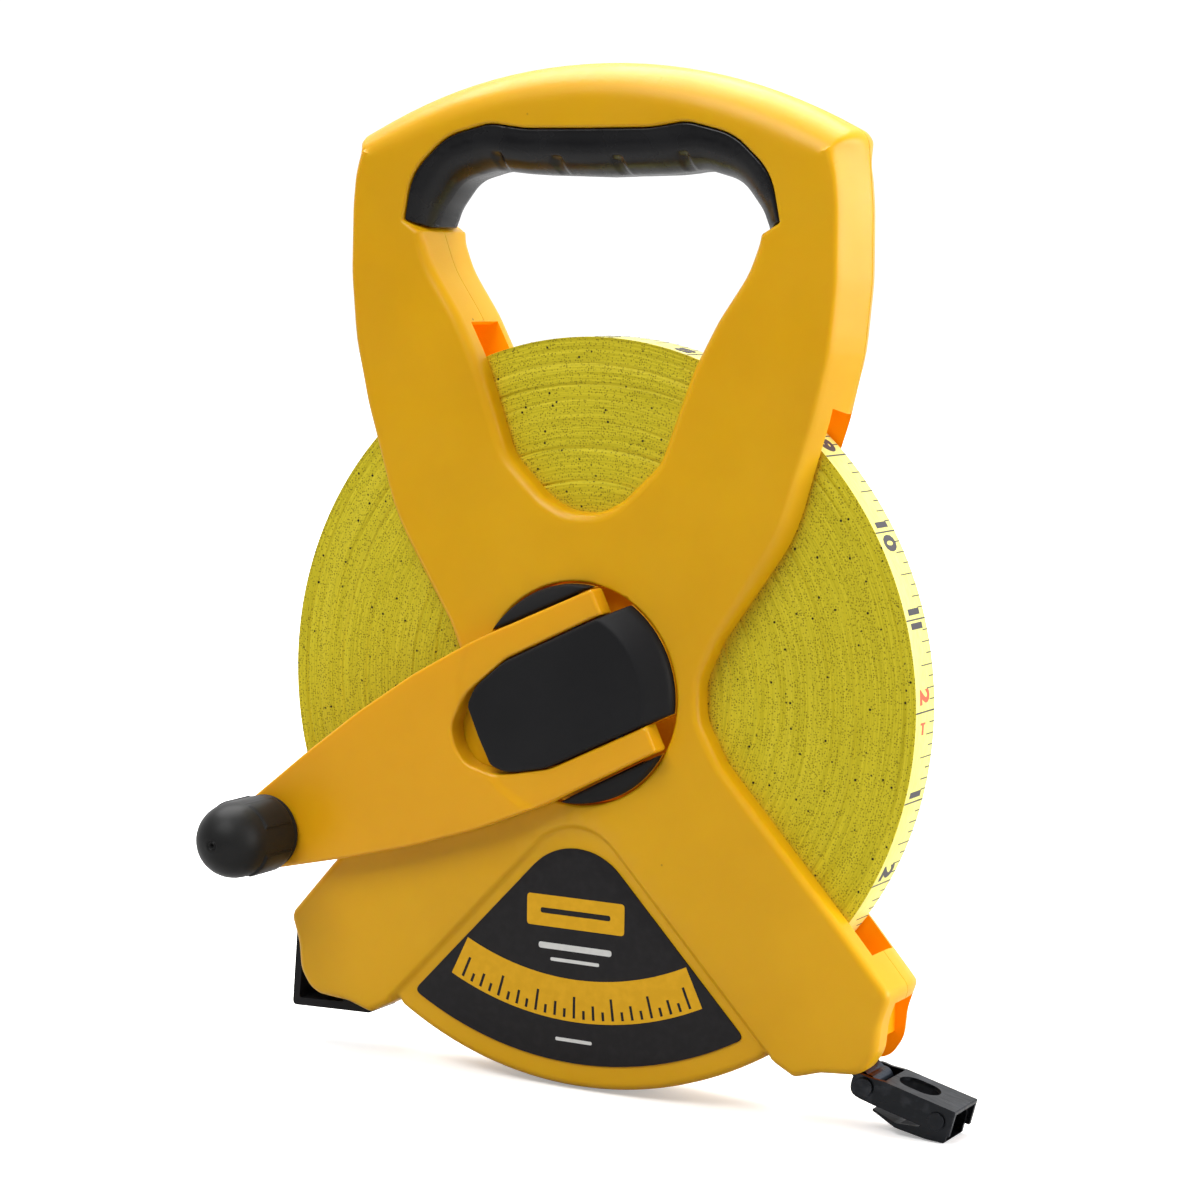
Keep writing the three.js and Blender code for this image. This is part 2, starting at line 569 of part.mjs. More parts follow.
// ---------------------------------------------------------------- end hook, about its pivot
const hook = new THREE.Group();
hook.position.set(PIVOT_X, 0, PIVOT_Z);
hook.rotation.y = -HOOK_ANGLE * DEG;
group.add(hook);

function hookBody() {
  const side = rounded([
    [1, 3.2, 2], [HOOK_START, HOOK_HALF_HEIGHT, 0], [HOOK_LENGTH, HOOK_HALF_HEIGHT, 0.4],
    [HOOK_LENGTH, -HOOK_HALF_HEIGHT, 0.4], [4, -HOOK_HALF_HEIGHT, 2],
    [-4, -HOOK_HALF_HEIGHT + 0.3, 3.6], [-4, 3.2, 3.4],
  ]);
  const outer = slab(side, -HOOK_HALF_WIDTH, HOOK_HALF_WIDTH);
  const inside = HOOK_HALF_WIDTH - HOOK_SHEET;
  const room = block(HOOK_START, 40, -inside, inside, -20, HOOK_HALF_HEIGHT - HOOK_SHEET);
  const pivotRoom = block(-20, HOOK_START + 0.01, -inside, inside, -20, 20);
  const pin = rod(0, 0, PIN_RADIUS + FIT_GAP, -20, 20, 20);
  const rivets = rod(CLAW_PIVOT[0], CLAW_PIVOT[1], CLAW_RIVET + FIT_GAP, -20, 20, 20);
  return cutBy(outer, [room, pivotRoom, pin, rivets, nailSlot()]);
}

// A round-ended hole through the web, for hooking over a nail.
function nailSlot() {
  const radius = 4.3;
  const [near, far] = [11.1, 14.7];
  const ends = [near, far].map((x) => {
    const geometry = new THREE.CylinderGeometry(radius, radius, 6, 28);
    geometry.rotateX(Math.PI / 2);
    geometry.translate(x, 0, HOOK_HALF_HEIGHT);
    return toSolid(geometry);
  });
  const middle = block(near, far, -radius, radius, HOOK_HALF_HEIGHT - 3, HOOK_HALF_HEIGHT + 3);
  return joined([...ends, middle]);
}

// A U-shaped claw inside the channel's end, pivoted on two rivets; its point aims at the pivot.
function hookClaw() {
  const inside = HOOK_HALF_WIDTH - HOOK_SHEET - FIT_GAP;
  const end = HOOK_LENGTH - 1.2;
  const profile = rounded([
    [2.2, -7, 0], [11, -6.6, 5], [18.6, -4.6, 3], [19.4, 1.2, 2], [end, 1.2, 2], [end, -6.4, 0.6],
    [20.4, -7.4, 2], [12, -7.9, 6], [2.2, -7.6, 0],
  ]);
  const outer = slab(profile, -inside, inside);
  const room = block(-10, 60, -inside + 1, inside - 1, -6.3, 20);
  const front = slab([
    new THREE.Vector2(-2, 0.4), new THREE.Vector2(-2, 12), new THREE.Vector2(12, 12),
    new THREE.Vector2(12, inside + 0.5),
  ], -5, 5).rotate([90, 0, 0]).translate([0, 0, -6]);
  const rivets = rod(CLAW_PIVOT[0], CLAW_PIVOT[1], CLAW_RIVET + FIT_GAP, -20, 20, 20);
  return cutBy(outer, [room, rivets, front, front.mirror([0, 1, 0])]);
}

place('hook_body', hookBody(), BLACKENED_STEEL, hook);
place('hook_pin', rod(0, 0, PIN_RADIUS, -HOOK_HALF_WIDTH, HOOK_HALF_WIDTH, 20)
  .add(rod(0, 0, 2.7, -HOOK_HALF_WIDTH - 0.9, -HOOK_HALF_WIDTH - 0.1, 24))
  .add(rod(0, 0, 2.7, HOOK_HALF_WIDTH + 0.1, HOOK_HALF_WIDTH + 0.9, 24))
  .add(rod(0, 0, PIN_RADIUS, -HOOK_HALF_WIDTH - 0.3, HOOK_HALF_WIDTH + 0.3, 20)), BLACKENED_STEEL, hook);
place('hook_claw', hookClaw(), BLACKENED_STEEL, hook);
[-1, 1].forEach((sign) => {
  const inner = HOOK_HALF_WIDTH - HOOK_SHEET - 1.8;
  const body = [sign * inner, sign * (HOOK_HALF_WIDTH + 0.3)].sort((a, b) => a - b);
  const head = [sign * (HOOK_HALF_WIDTH + 0.1), sign * (HOOK_HALF_WIDTH + 0.8)].sort((a, b) => a - b);
  const rivet = rod(CLAW_PIVOT[0], CLAW_PIVOT[1], CLAW_RIVET, body[0], body[1], 18)
    .add(rod(CLAW_PIVOT[0], CLAW_PIVOT[1], 2.5, head[0], head[1], 22));
  place(sign < 0 ? 'claw_rivet_front' : 'claw_rivet_rear', rivet, BLACKENED_STEEL, hook);
});

group.position.y = -HALF_THICK;

export default group;
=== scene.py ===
"""Looks of the open-reel surveyor's tape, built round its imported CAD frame.

Shapes are drawn in millimetres about the reel axis and the shells' parting plane, with the
height of a surface counted towards the crank side. They go into the row frame, in metres, as
each mesh is made.
"""

import math

import bpy
import numpy as np
from mathutils import Matrix, Vector
from mathutils.geometry import delaunay_2d_cdt


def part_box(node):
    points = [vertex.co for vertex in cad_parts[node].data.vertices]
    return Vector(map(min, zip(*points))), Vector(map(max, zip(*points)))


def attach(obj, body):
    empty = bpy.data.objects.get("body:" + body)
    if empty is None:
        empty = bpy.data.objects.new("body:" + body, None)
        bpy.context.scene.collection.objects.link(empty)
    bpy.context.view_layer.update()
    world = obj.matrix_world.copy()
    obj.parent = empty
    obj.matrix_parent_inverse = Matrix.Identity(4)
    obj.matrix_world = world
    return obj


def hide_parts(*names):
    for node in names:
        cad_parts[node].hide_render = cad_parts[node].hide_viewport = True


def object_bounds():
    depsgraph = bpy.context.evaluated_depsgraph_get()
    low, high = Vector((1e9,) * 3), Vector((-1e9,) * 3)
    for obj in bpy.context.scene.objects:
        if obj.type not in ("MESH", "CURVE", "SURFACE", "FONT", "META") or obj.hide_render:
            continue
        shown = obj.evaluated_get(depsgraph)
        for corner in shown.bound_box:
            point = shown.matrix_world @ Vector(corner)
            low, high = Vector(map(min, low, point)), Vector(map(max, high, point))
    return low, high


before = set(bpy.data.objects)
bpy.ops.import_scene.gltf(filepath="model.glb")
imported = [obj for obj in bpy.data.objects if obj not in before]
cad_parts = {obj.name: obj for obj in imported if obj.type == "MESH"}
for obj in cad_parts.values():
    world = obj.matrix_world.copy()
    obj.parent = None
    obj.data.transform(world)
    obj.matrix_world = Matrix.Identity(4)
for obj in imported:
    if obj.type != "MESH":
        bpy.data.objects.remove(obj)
cad_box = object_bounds()

# ------------------------------------------------------------ sizes, in millimetres
MM = 0.001
FRONT_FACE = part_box("front_shell")[0].y
REAR_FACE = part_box("rear_shell")[1].y
PARTING_PLANE = (FRONT_FACE + REAR_FACE) / 2
HALF_THICK = (REAR_FACE - FRONT_FACE) / 2 / MM
PARTING_GAP = 0.1
FIT_GAP = 0.3
SKIN = 3.4
WALL = 2.6

CAVITY_RADIUS = 112
CAVITY_HALF = 7.5
BASE_RADIUS = 115
HUB_OPENING = 32
HUB_DISC_RADIUS = 31.5
PANEL_DEPTH = 1.6
PANEL_SOFTNESS = 1.0
LABEL_RADIUS = 107.9
LABEL_THICK = 0.5

CORE_RADIUS = 36
PACK_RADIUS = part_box("tape_pack")[1].x / MM
TAPE_HALF = 6.5
TAPE_THICK = 0.47
INCH = 25.4

ARM_ANGLE = math.radians(205.8)
ARM_BACK = 14.4
ARM_FRONT = 21
KNOB_AT = 112.5
ARM_END_RADIUS = 11.5
KNOB_TIP = 50
CAP_TOP = 21.4
CAP_BACK = 13.5

HUB_RIM = HUB_DISC_RADIUS - 0.1
AXLE_BOSS_RADIUS = 14
AXLE_HEAD_HOLE = 9.3
AXLE_HOLE = 4.3
SCREW_BOSS_RADIUS = 3.9
SCREW_HEAD_HOLE = 3.5
SCREW_HOLE = 1.8
HEAD_FLOOR = 11.4
HUB_WALL = 3
BEYOND = 20

SCREWS = [
    (0, 168.5), (-68, 146), (68, 146), (-66, 110), (66, 110), (-85.5, -79.5), (85.5, -79.5),
]

ARC_STEP = math.radians(6)
EDGE_SPACING = 1.3
ROUNDING = sorted([1 - math.cos(math.radians(a)) for a in (15, 30, 45, 60, 75, 90)] + [0.62, 0.87, 1.3])


# ------------------------------------------------------------ outlines
def arc(cx, cz, radius, start, end, steps):
    """Corners [x, z, 0] along an arc, angles in degrees."""
    angles = np.radians(np.linspace(start, end, steps + 1))
    return [(cx + radius * math.cos(a), cz + radius * math.sin(a), 0) for a in angles]


def mirrored(half):
    """A right half, from top to bottom, joined to its mirror image into a clockwise loop."""
    left = [(-x, z, r) for x, z, r in reversed(half) if abs(x) > 1e-6]
    return list(half) + left


def rounded(corners, spacing=EDGE_SPACING):
    """A closed outline with each corner (x, z, radius) rounded, as an array of points."""
    points = []
    for i, (x, z, radius) in enumerate(corners):
        corner = np.array([x, z], float)
        before = np.array(corners[i - 1][:2], float) - corner
        after = np.array(corners[(i + 1) % len(corners)][:2], float) - corner
        room = min(np.linalg.norm(before), np.linalg.norm(after)) * 0.49
        before /= np.linalg.norm(before)
        after /= np.linalg.norm(after)
        turn = math.pi - math.acos(max(-1.0, min(1.0, before @ after)))
        reach = min(radius * math.tan(turn / 2), room)
        if reach < 0.05 or turn < 0.01:
            points.append(corner)
            continue
        steps = max(2, math.ceil(turn / ARC_STEP))
        for t in np.linspace(0, 1, steps + 1):
            a = corner + before * reach * (1 - t)
            b = corner + after * reach * t
            points.append(a * (1 - t) + b * t)
    return spaced(np.array(points), spacing)


def spaced(loop, spacing):
    """The same closed loop with points added so that none are further apart than spacing."""
    points = []
    for a, b in zip(loop, np.roll(loop, -1, 0)):
        steps = max(1, math.ceil(np.linalg.norm(b - a) / spacing))
        points += [a + (b - a) * k / steps for k in range(steps)]
    return np.array(points)


def circle(radius, x=0.0, z=0.0, sides=120):
    angles = np.linspace(0, -2 * math.pi, sides, endpoint=False)
    return np.stack([x + radius * np.cos(angles), z + radius * np.sin(angles)], 1)


def inset_corners(corners, distance):
    """Moves the sides of a clockwise list of corners inwards by distance."""
    moved = []
    for i, (x, z, radius) in enumerate(corners):
        into = np.array([x, z]) - np.array(corners[i - 1][:2])
        out = np.array(corners[(i + 1) % len(corners)][:2]) - np.array([x, z])
        into /= np.linalg.norm(into)
        out /= np.linalg.norm(out)
        normal = np.array([into[1] + out[1], -into[0] - out[0]])
        normal /= np.linalg.norm(normal)
        spread = max(0.35, normal @ np.array([into[1], -into[0]]))
        convex = into[0] * out[1] - into[1] * out[0] < 0
        radius = 0 if radius == 0 else max(0.4, radius + (-distance if convex else distance))
        moved.append((x + normal[0] * distance / spread, z + normal[1] * distance / spread, radius))
    return moved


def closed_about(half):
    """A half outline on the positive side of the arm's line, closed by its mirror image."""
    return list(half) + [(x, -z, r) for x, z, r in reversed(half) if z > 0]


FRAME_HALF = [
    *arc(0, 12, 166, 90, 65, 12),
    (80, 157.6, 6), (81.9, 138, 60), (82.2, 118, 60), (80.4, 98, 60), (75.8, 79, 60),
    (64.5, 47.5, 60), (43.5, 17.5, 22), (38.2, 6, 14), (38.6, -5, 14), (45.5, -17, 20),
    (84, -58.6, 0), (98.6, -75.2, 4), (95.8, -83.5, 12), (95, -92, 10), (90.5, -98.6, 9),
    (78, -99.6, 8), (70, -102, 3), (60.2, -96.8, 2), *arc(0, 0, BASE_RADIUS, -58.7, -90, 16),
]
SEAT_HALF = [
    (0, 159.3, 0), (20, 159.4, 30), (31.5, 161, 14), (46, 157.5, 20), (57.5, 147, 18),
    (60.4, 133.4, 0.8),
]
OPENING_HALF = [
    *SEAT_HALF, (54.6, 130.3, 1.5), (50.6, 119.5, 30), (41.6, 106.5, 40), (34.4, 93, 40),
    (24.6, 66.5, 14), (12.6, 55.2, 18), (5, 51.5, 14),
]
FINGER_HALF = [
    (0, 145.8, 0), (22, 146.4, 40), (34, 147.6, 14), (45, 144.6, 12), (51.3, 136.5, 12),
    (53.6, 130.6, 1.5),
]
PANEL_HALF = [*arc(0, -55.3, 16.8, 90, 43.6, 8), (62.5, -96.5, 0), (66, -120, 0)]
LABEL_HALF = [
    *arc(0, -64.6, 19.6, 90, 43.7, 8), (54.5, -93.2, 2.5), *arc(0, 0, LABEL_RADIUS, -62.5, -90, 12),
]
MOUTH = [(91.5, -78.5), (106, -78.5), (106, -108), (79, -108), (79, -93.5), (91.5, -90)]
MOUTH_HALF_DEPTH = 7.2

PRONG_TIP = -20.3
SLOT_HALF = [(PRONG_TIP, 16.9, 0), (14, 16.9, 12), (31, 12.6, 12), (39.2, 6, 8), (40.5, 0, 9)]
ARM_HALF = [(PRONG_TIP, 24.6, 1.0), (20, 25.8, 60), (45, 24.4, 80), (68, 21.2, 80), (92, 16.4, 60)]


# ------------------------------------------------------------ surfaces over an outline
def smooth(value, low, high):
    """0 below low, 1 above high and a smooth rise between them."""
    t = np.clip((value - low) / (high - low), 0, 1)
    return t * t * (3 - 2 * t)


def measure(points, loop):
    """Distance from each point to a closed loop, and the nearest place on the loop."""
    along = np.roll(loop, -1, 0) - loop
    squared = (along ** 2).sum(1)
    distances = np.zeros(len(points))
    places = np.zeros((len(points), 2))
    for start in range(0, len(points), 1500):
        part = points[start:start + 1500, None]
        t = np.clip(((part - loop) * along).sum(2) / squared, 0, 1)
        near = loop + t[..., None] * along
        gap = ((part - near) ** 2).sum(2)
        best = gap.argmin(1)
        rows = np.arange(len(best))
        distances[start:start + 1500] = np.sqrt(gap[rows, best])
        places[start:start + 1500] = near[rows, best]
    return distances, places


def inside(points, loops):
    """Which points are inside an odd number of the loops."""
    odd = np.zeros(len(points), bool)
    for loop in loops:
        a, b = loop, np.roll(loop, -1, 0)
        level = np.where(a[:, 1] == b[:, 1], 1e-12, b[:, 1] - a[:, 1])
        for start in range(0, len(points), 3000):
            part = points[start:start + 3000, None]
            spans = (a[:, 1] > part[..., 1]) != (b[:, 1] > part[..., 1])
            crossing = a[:, 0] + (part[..., 1] - a[:, 1]) * (b[:, 0] - a[:, 0]) / level
            odd[start:start + 3000] ^= ((part[..., 0] < crossing) & spans).sum(1) % 2 == 1
    return odd


def size_at(size, places):
    """A size that is a number, or a function of the place on the outline."""
    return size(places) if callable(size) else np.full(len(places), float(size))


class Edge:
    """A loop of an outline, and how the face rounds off towards it."""

    def __init__(self, loop, width, depth, solid_inside=True, draft=0):
        self.loop = loop
        self.width = width
        self.depth = depth
        self.draft = draft
        forward = np.roll(loop, -1, 0) - np.roll(loop, 1, 0)
        forward /= np.linalg.norm(forward, axis=1)[:, None]
        area = (loop[:, 0] * np.roll(loop[:, 1], -1) - np.roll(loop[:, 0], -1) * loop[:, 1]).sum()
        self.normals = np.stack([forward[:, 1], -forward[:, 0]], 1) * (-1 if area > 0 else 1)
        if not solid_inside:
            self.normals = -self.normals

    def drop(self, points):
        """How far the face has fallen at each point: a quarter round, or a slope where it drafts."""
        distances, places = measure(points, self.loop)
        share = np.clip(distances / size_at(self.width, places), 0, 1)
        rounding = 1 - np.sqrt(1 - (1 - share) ** 2)
        rest = 1 - 1.3 * share
        slope = ((rest + np.sqrt(rest ** 2 + 0.015)) / 2 - 0.012) / 0.9917
        draft = size_at(self.draft, places)
        return size_at(self.depth, places) * (rounding + (slope - rounding) * draft)

    def rings(self):
        """Lines of points inside the loop that carry its rounding."""
        rings = []
        for share in ROUNDING:
            offset = share * size_at(self.width, self.loop)
            ring = self.loop + self.normals * offset[:, None]
            clear = measure(ring, self.loop)[0] > 0.93 * offset
            rings.append(ring[clear])
        return rings


def thinned(points, gap):
    """The points without those closer than gap to one kept before them."""
    kept, cells = [], {}
    for point in points:
        cell = (math.floor(point[0] / gap), math.floor(point[1] / gap))
        around = [(cell[0] + i, cell[1] + j) for i in (-1, 0, 1) for j in (-1, 0, 1)]
        near = [q for place in around for q in cells.get(place, [])]
        if all((point[0] - q[0]) ** 2 + (point[1] - q[1]) ** 2 > gap * gap for q in near):
            kept.append(point)
            cells.setdefault(cell, []).append(point)
    return np.array(kept)


def grid_over(loop, pitch):
    """A square grid of points over the loop's box."""
    low, high = loop.min(0), loop.max(0)
    x, z = np.meshgrid(np.arange(low[0], high[0], pitch), np.arange(low[1], high[1], pitch))
    return np.stack([x.ravel(), z.ravel()], 1)


def triangulate(loops, free=None):
    """Triangles, anticlockwise in (x, z), that fill the loops and use the free points."""
    points = np.vstack(loops if free is None else [*loops, free])
    edges, first = [], 0
    for loop in loops:
        edges += [(first + i, first + (i + 1) % len(loop)) for i in range(len(loop))]
        first += len(loop)
    made = delaunay_2d_cdt([Vector(p) for p in points], edges, [], 0, 1e-7)
    points = np.array([tuple(p) for p in made[0]])
    triangles = np.array([tuple(t) for t in made[2]])
    return points, triangles[inside(points[triangles].mean(1), loops)]


def rim_of(triangles):
    """The directed edges that only one triangle uses."""
    edges = np.vstack([triangles[:, [0, 1]], triangles[:, [1, 2]], triangles[:, [2, 0]]])
    paired = {(b, a) for a, b in edges.tolist()}
    return [e for e in map(tuple, edges.tolist()) if e not in paired]


def plate(edges, face, back=None, lines=(), pitch=6, gap=0.3):
    """A closed plate as (points, faces). Its front is face(points) less the rounding at each edge.
    Its back is flat, or the mirror image of the front where back is None."""
    loops = [edge.loop for edge in edges]
    rings = [ring for edge in edges for ring in edge.rings()]
    free = np.vstack([*rings, *lines, grid_over(loops[0], pitch)])
    free = free[inside(free, loops)]
    clear = np.min([measure(free, loop)[0] for loop in loops], 0)
    free = thinned(free[clear > 0.06], gap)
    flat, triangles = triangulate(loops, free)
    height = face(flat) - sum(edge.drop(flat) for edge in edges)
    height = np.maximum(height, (0 if back is None else back) + 0.2)
    front = np.stack([flat[:, 0], -height, flat[:, 1]], 1)
    if back is None:
        rear, rear_triangles = front * [1, -1, 1], triangles
        twin = {i: i + len(front) for i in range(len(front))}
    else:
        rim, rear_triangles = triangulate(loops)
        rear = np.stack([rim[:, 0], np.full(len(rim), -float(back)), rim[:, 1]], 1)
        index = {tuple(np.round(p, 4)): i for i, p in enumerate(rim)}
        twin = {i: len(front) + index[tuple(np.round(flat[i], 4))] for e in rim_of(triangles) for i in e}
    faces = triangles.tolist()
    faces += [(b, a, twin[a], twin[b]) for a, b in rim_of(triangles)]
    faces += (rear_triangles[:, ::-1] + len(front)).tolist()
    return np.vstack([front, rear]), faces


def prism(loops, front, back):
    """A straight-sided solid over the loops, between two heights."""
    flat, triangles = triangulate(loops)
    count = len(flat)
    points = np.vstack([
        np.stack([flat[:, 0], np.full(count, -float(front)), flat[:, 1]], 1),
        np.stack([flat[:, 0], np.full(count, -float(back)), flat[:, 1]], 1),
    ])
    faces = triangles.tolist() + (triangles[:, ::-1] + count).tolist()
    faces += [(b, a, a + count, b + count) for a, b in rim_of(triangles)]
    return points, faces


def turned(profile, sides, radius_change=None):
    """A solid turned about the y axis from (radius, height) pairs that start and end on it."""
    angles = np.linspace(0, 2 * math.pi, sides, endpoint=False)
    rows, points = [], []
    for radius, height in profile:
        if radius == 0:
            rows.append([len(points)])
            points.append((0, -height, 0))
            continue
        rows.append(list(range(len(points), len(points) + sides)))
        for a in angles:
            r = radius + (radius_change(radius, height, a) if radius_change else 0)
            points.append((r * math.cos(a), -height, r * math.sin(a)))
    faces = []
    for low, high in zip(rows, rows[1:]):
        for i in range(sides):
            j = (i + 1) % sides
            quad = [low[i % len(low)], low[j % len(low)], high[j % len(high)], high[i % len(high)]]
            faces.append(list(dict.fromkeys(quad)))
    return np.array(points, float), faces


# ------------------------------------------------------------ objects
def along_arm(shape):
    """From the crank's frame: along the arm is x, across it is z."""
    points, faces = shape
    c, s = math.cos(ARM_ANGLE), math.sin(ARM_ANGLE)
    x, y, z = points.T
    return np.stack([x * c - z * s, y, x * s + z * c], 1), faces


def on_side(shape, front):
    """The shape as it is for the crank's side, or its mirror image in the parting plane."""
    if front:
        return shape
    points, faces = shape
    return points * [1, -1, 1], [list(reversed(face)) for face in faces]


def gathered(shapes):
    """Several shapes as one."""
    points, faces, count = [], [], 0
    for p, f in shapes:
        points.append(p)
        faces += [[i + count for i in face] for face in f]
        count += len(p)
    return np.vstack(points), faces


def make(name, shape, *materials, smooth_angle=35, indices=None):
    """A mesh object from a shape in millimetres."""
    points, faces = shape
    placed = np.asarray(points, float) * MM
    placed[:, 1] += PARTING_PLANE
    mesh = bpy.data.meshes.new(name)
    mesh.from_pydata(placed.tolist(), [], [list(map(int, face)) for face in faces])
    mesh.update()
    for material in materials:
        mesh.materials.append(material)
    if indices is not None:
        mesh.polygons.foreach_set("material_index", indices)
    piece = bpy.data.objects.new(name, mesh)
    bpy.context.scene.collection.objects.link(piece)
    soften(mesh, smooth_angle)
    return piece


def soften(mesh, angle):
    """Shades a mesh smooth, apart from edges sharper than angle degrees."""
    mesh.polygons.foreach_set("use_smooth", [True] * len(mesh.polygons))
    mesh.set_sharp_from_angle(angle=math.radians(angle))


def carve(piece, *cutters):
    """Cuts the solids out of a piece, and removes them."""
    for cutter in cutters:
        modifier = piece.modifiers.new("cut", "BOOLEAN")
        modifier.object = cutter
        modifier.operation = "DIFFERENCE"
        modifier.solver = "EXACT"
        modifier.material_mode = "TRANSFER"
    graph = bpy.context.evaluated_depsgraph_get()
    graph.update()
    mesh = bpy.data.meshes.new_from_object(piece.evaluated_get(graph))
    piece.modifiers.clear()
    mesh.name = piece.name
    piece.data = mesh
    for cutter in cutters:
        bpy.data.objects.remove(cutter)
    soften(mesh, 35)
    return piece


def settle(piece, body, slot, *nodes):
    """Rides the piece on its body, in place of the CAD nodes named."""
    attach(piece, body)
    if nodes:
        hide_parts(*nodes)
    return piece


# ------------------------------------------------------------ materials
class Finish:
    """A Principled material and its node helpers."""

    def __init__(self, name, colour, roughness, **sockets):
        self.material = bpy.data.materials.new(name)
        self.material.use_nodes = True
        self.tree = self.material.node_tree
        self.shader = self.tree.nodes["Principled BSDF"]
        self.shader.inputs["Base Color"].default_value = (*colour, 1)
        self.shader.inputs["Roughness"].default_value = roughness
        for socket, value in sockets.items():
            self.shader.inputs[socket.replace("_", " ")].default_value = value
        self.place = self.node("ShaderNodeTexCoord").outputs["Object"]

    def node(self, kind, inputs=None, **settings):
        made = self.tree.nodes.new(kind)
        for key, value in settings.items():
            setattr(made, key, value)
        for key, value in (inputs or {}).items():
            if isinstance(value, bpy.types.NodeSocket):
                self.tree.links.new(value, made.inputs[key])
            else:
                made.inputs[key].default_value = value
        return made

    def noise(self, scale, detail=2, place=None):
        inputs = {"Vector": place or self.place, "Scale": scale, "Detail": detail}
        return self.node("ShaderNodeTexNoise", inputs).outputs["Fac"]

    def add(self, a, b):
        return self.node("ShaderNodeMath", {0: a, 1: b}, operation="ADD").outputs[0]

    def times(self, a, b):
        return self.node("ShaderNodeMath", {0: a, 1: b}, operation="MULTIPLY").outputs[0]

    def vector(self, operation, inputs, output=0):
        return self.node("ShaderNodeVectorMath", inputs, operation=operation).outputs[output]

    def stretched(self, scale):
        """Places scaled differently along each axis."""
        return self.node("ShaderNodeMapping", {"Vector": self.place, "Scale": scale}).outputs[0]

    def dots(self, scale, randomness, low, high):
        """Scattered spots, 1 within low of a middle and 0 beyond high."""
        inputs = {"Vector": self.place, "Scale": scale, "Randomness": randomness}
        cells = self.node("ShaderNodeTexVoronoi", inputs)
        return self.between(cells.outputs["Distance"], low, high, 1, 0)

    def between(self, value, low, high, to_low=0.0, to_high=1.0):
        inputs = {"Value": value, "From Min": low, "From Max": high, "To Min": to_low, "To Max": to_high}
        return self.node("ShaderNodeMapRange", inputs, clamp=True).outputs["Result"]

    def mix(self, factor, a, b):
        made = self.node("ShaderNodeMix", data_type="RGBA")
        for key, value in ((0, factor), (6, a), (7, b)):
            if isinstance(value, bpy.types.NodeSocket):
                self.tree.links.new(value, made.inputs[key])
            else:
                made.inputs[key].default_value = value if key == 0 else (*value, 1)
        return made.outputs[2]

    def colour(self, socket):
        self.tree.links.new(socket, self.shader.inputs["Base Color"])

    def rough(self, socket):
        self.tree.links.new(socket, self.shader.inputs["Roughness"])

    def bump(self, height, strength, distance):
        inputs = {"Height": height, "Strength": strength, "Distance": distance}
        made = self.node("ShaderNodeBump", inputs)
        self.tree.links.new(made.outputs["Normal"], self.shader.inputs["Normal"])


def moulded(name, colour, deep, roughness, specks=0.0, specular=0.35, glow=0.0, painted_glow=0.0):
    """Moulded plastic: faint mottling, a fine texture and, where asked, a few dark specks.
    Glow lets light spread under the surface. Where asked, an orange emission is painted glow: it stands in
    for light through the wall, though no lamp is there."""
    finish = Finish(name, colour, roughness, Specular_IOR_Level=specular)
    if glow:
        finish.shader.inputs["Subsurface Weight"].default_value = glow
        finish.shader.inputs["Subsurface Radius"].default_value = (1.0, 0.38, 0.03)
        finish.shader.inputs["Subsurface Scale"].default_value = 0.006
    # Painted glow: an orange emission stands in for light coming through the thin wall.
    if painted_glow:
        finish.shader.inputs["Emission Color"].default_value = (1.0, 0.27, 0.0, 1)
        finish.shader.inputs["Emission Strength"].default_value = painted_glow
    tone = finish.mix(finish.between(finish.noise(22, 4), 0.35, 0.68), colour, deep)
    if specks:
        rare = finish.between(finish.noise(31, 1), 0.60, 0.64)
        spots = finish.times(finish.dots(95.0, 1.0, 0.022, 0.042), rare)
        tone = finish.mix(finish.times(spots, specks), tone, (0.16, 0.09, 0.01))
    finish.colour(tone)
    finish.rough(finish.between(finish.noise(60, 3), 0.3, 0.7, roughness - 0.05, roughness + 0.06))
    finish.bump(finish.noise(1900, 3), 0.10, 0.00012)
    return finish.material


def metal(name, colour, worn, roughness):
    """Plated or blackened steel with brushed streaks and lighter rubbed patches."""
    finish = Finish(name, colour, roughness, Metallic=1.0)
    streaks = finish.noise(1, 3, finish.stretched((60, 900, 900)))
    rubbed = finish.between(finish.noise(140, 5), 0.52, 0.72)
    finish.colour(finish.mix(finish.times(rubbed, 0.6), colour, worn))
    finish.rough(finish.between(streaks, 0.3, 0.7, roughness - 0.08, roughness + 0.12))
    finish.bump(streaks, 0.12, 0.00006)
    return finish.material


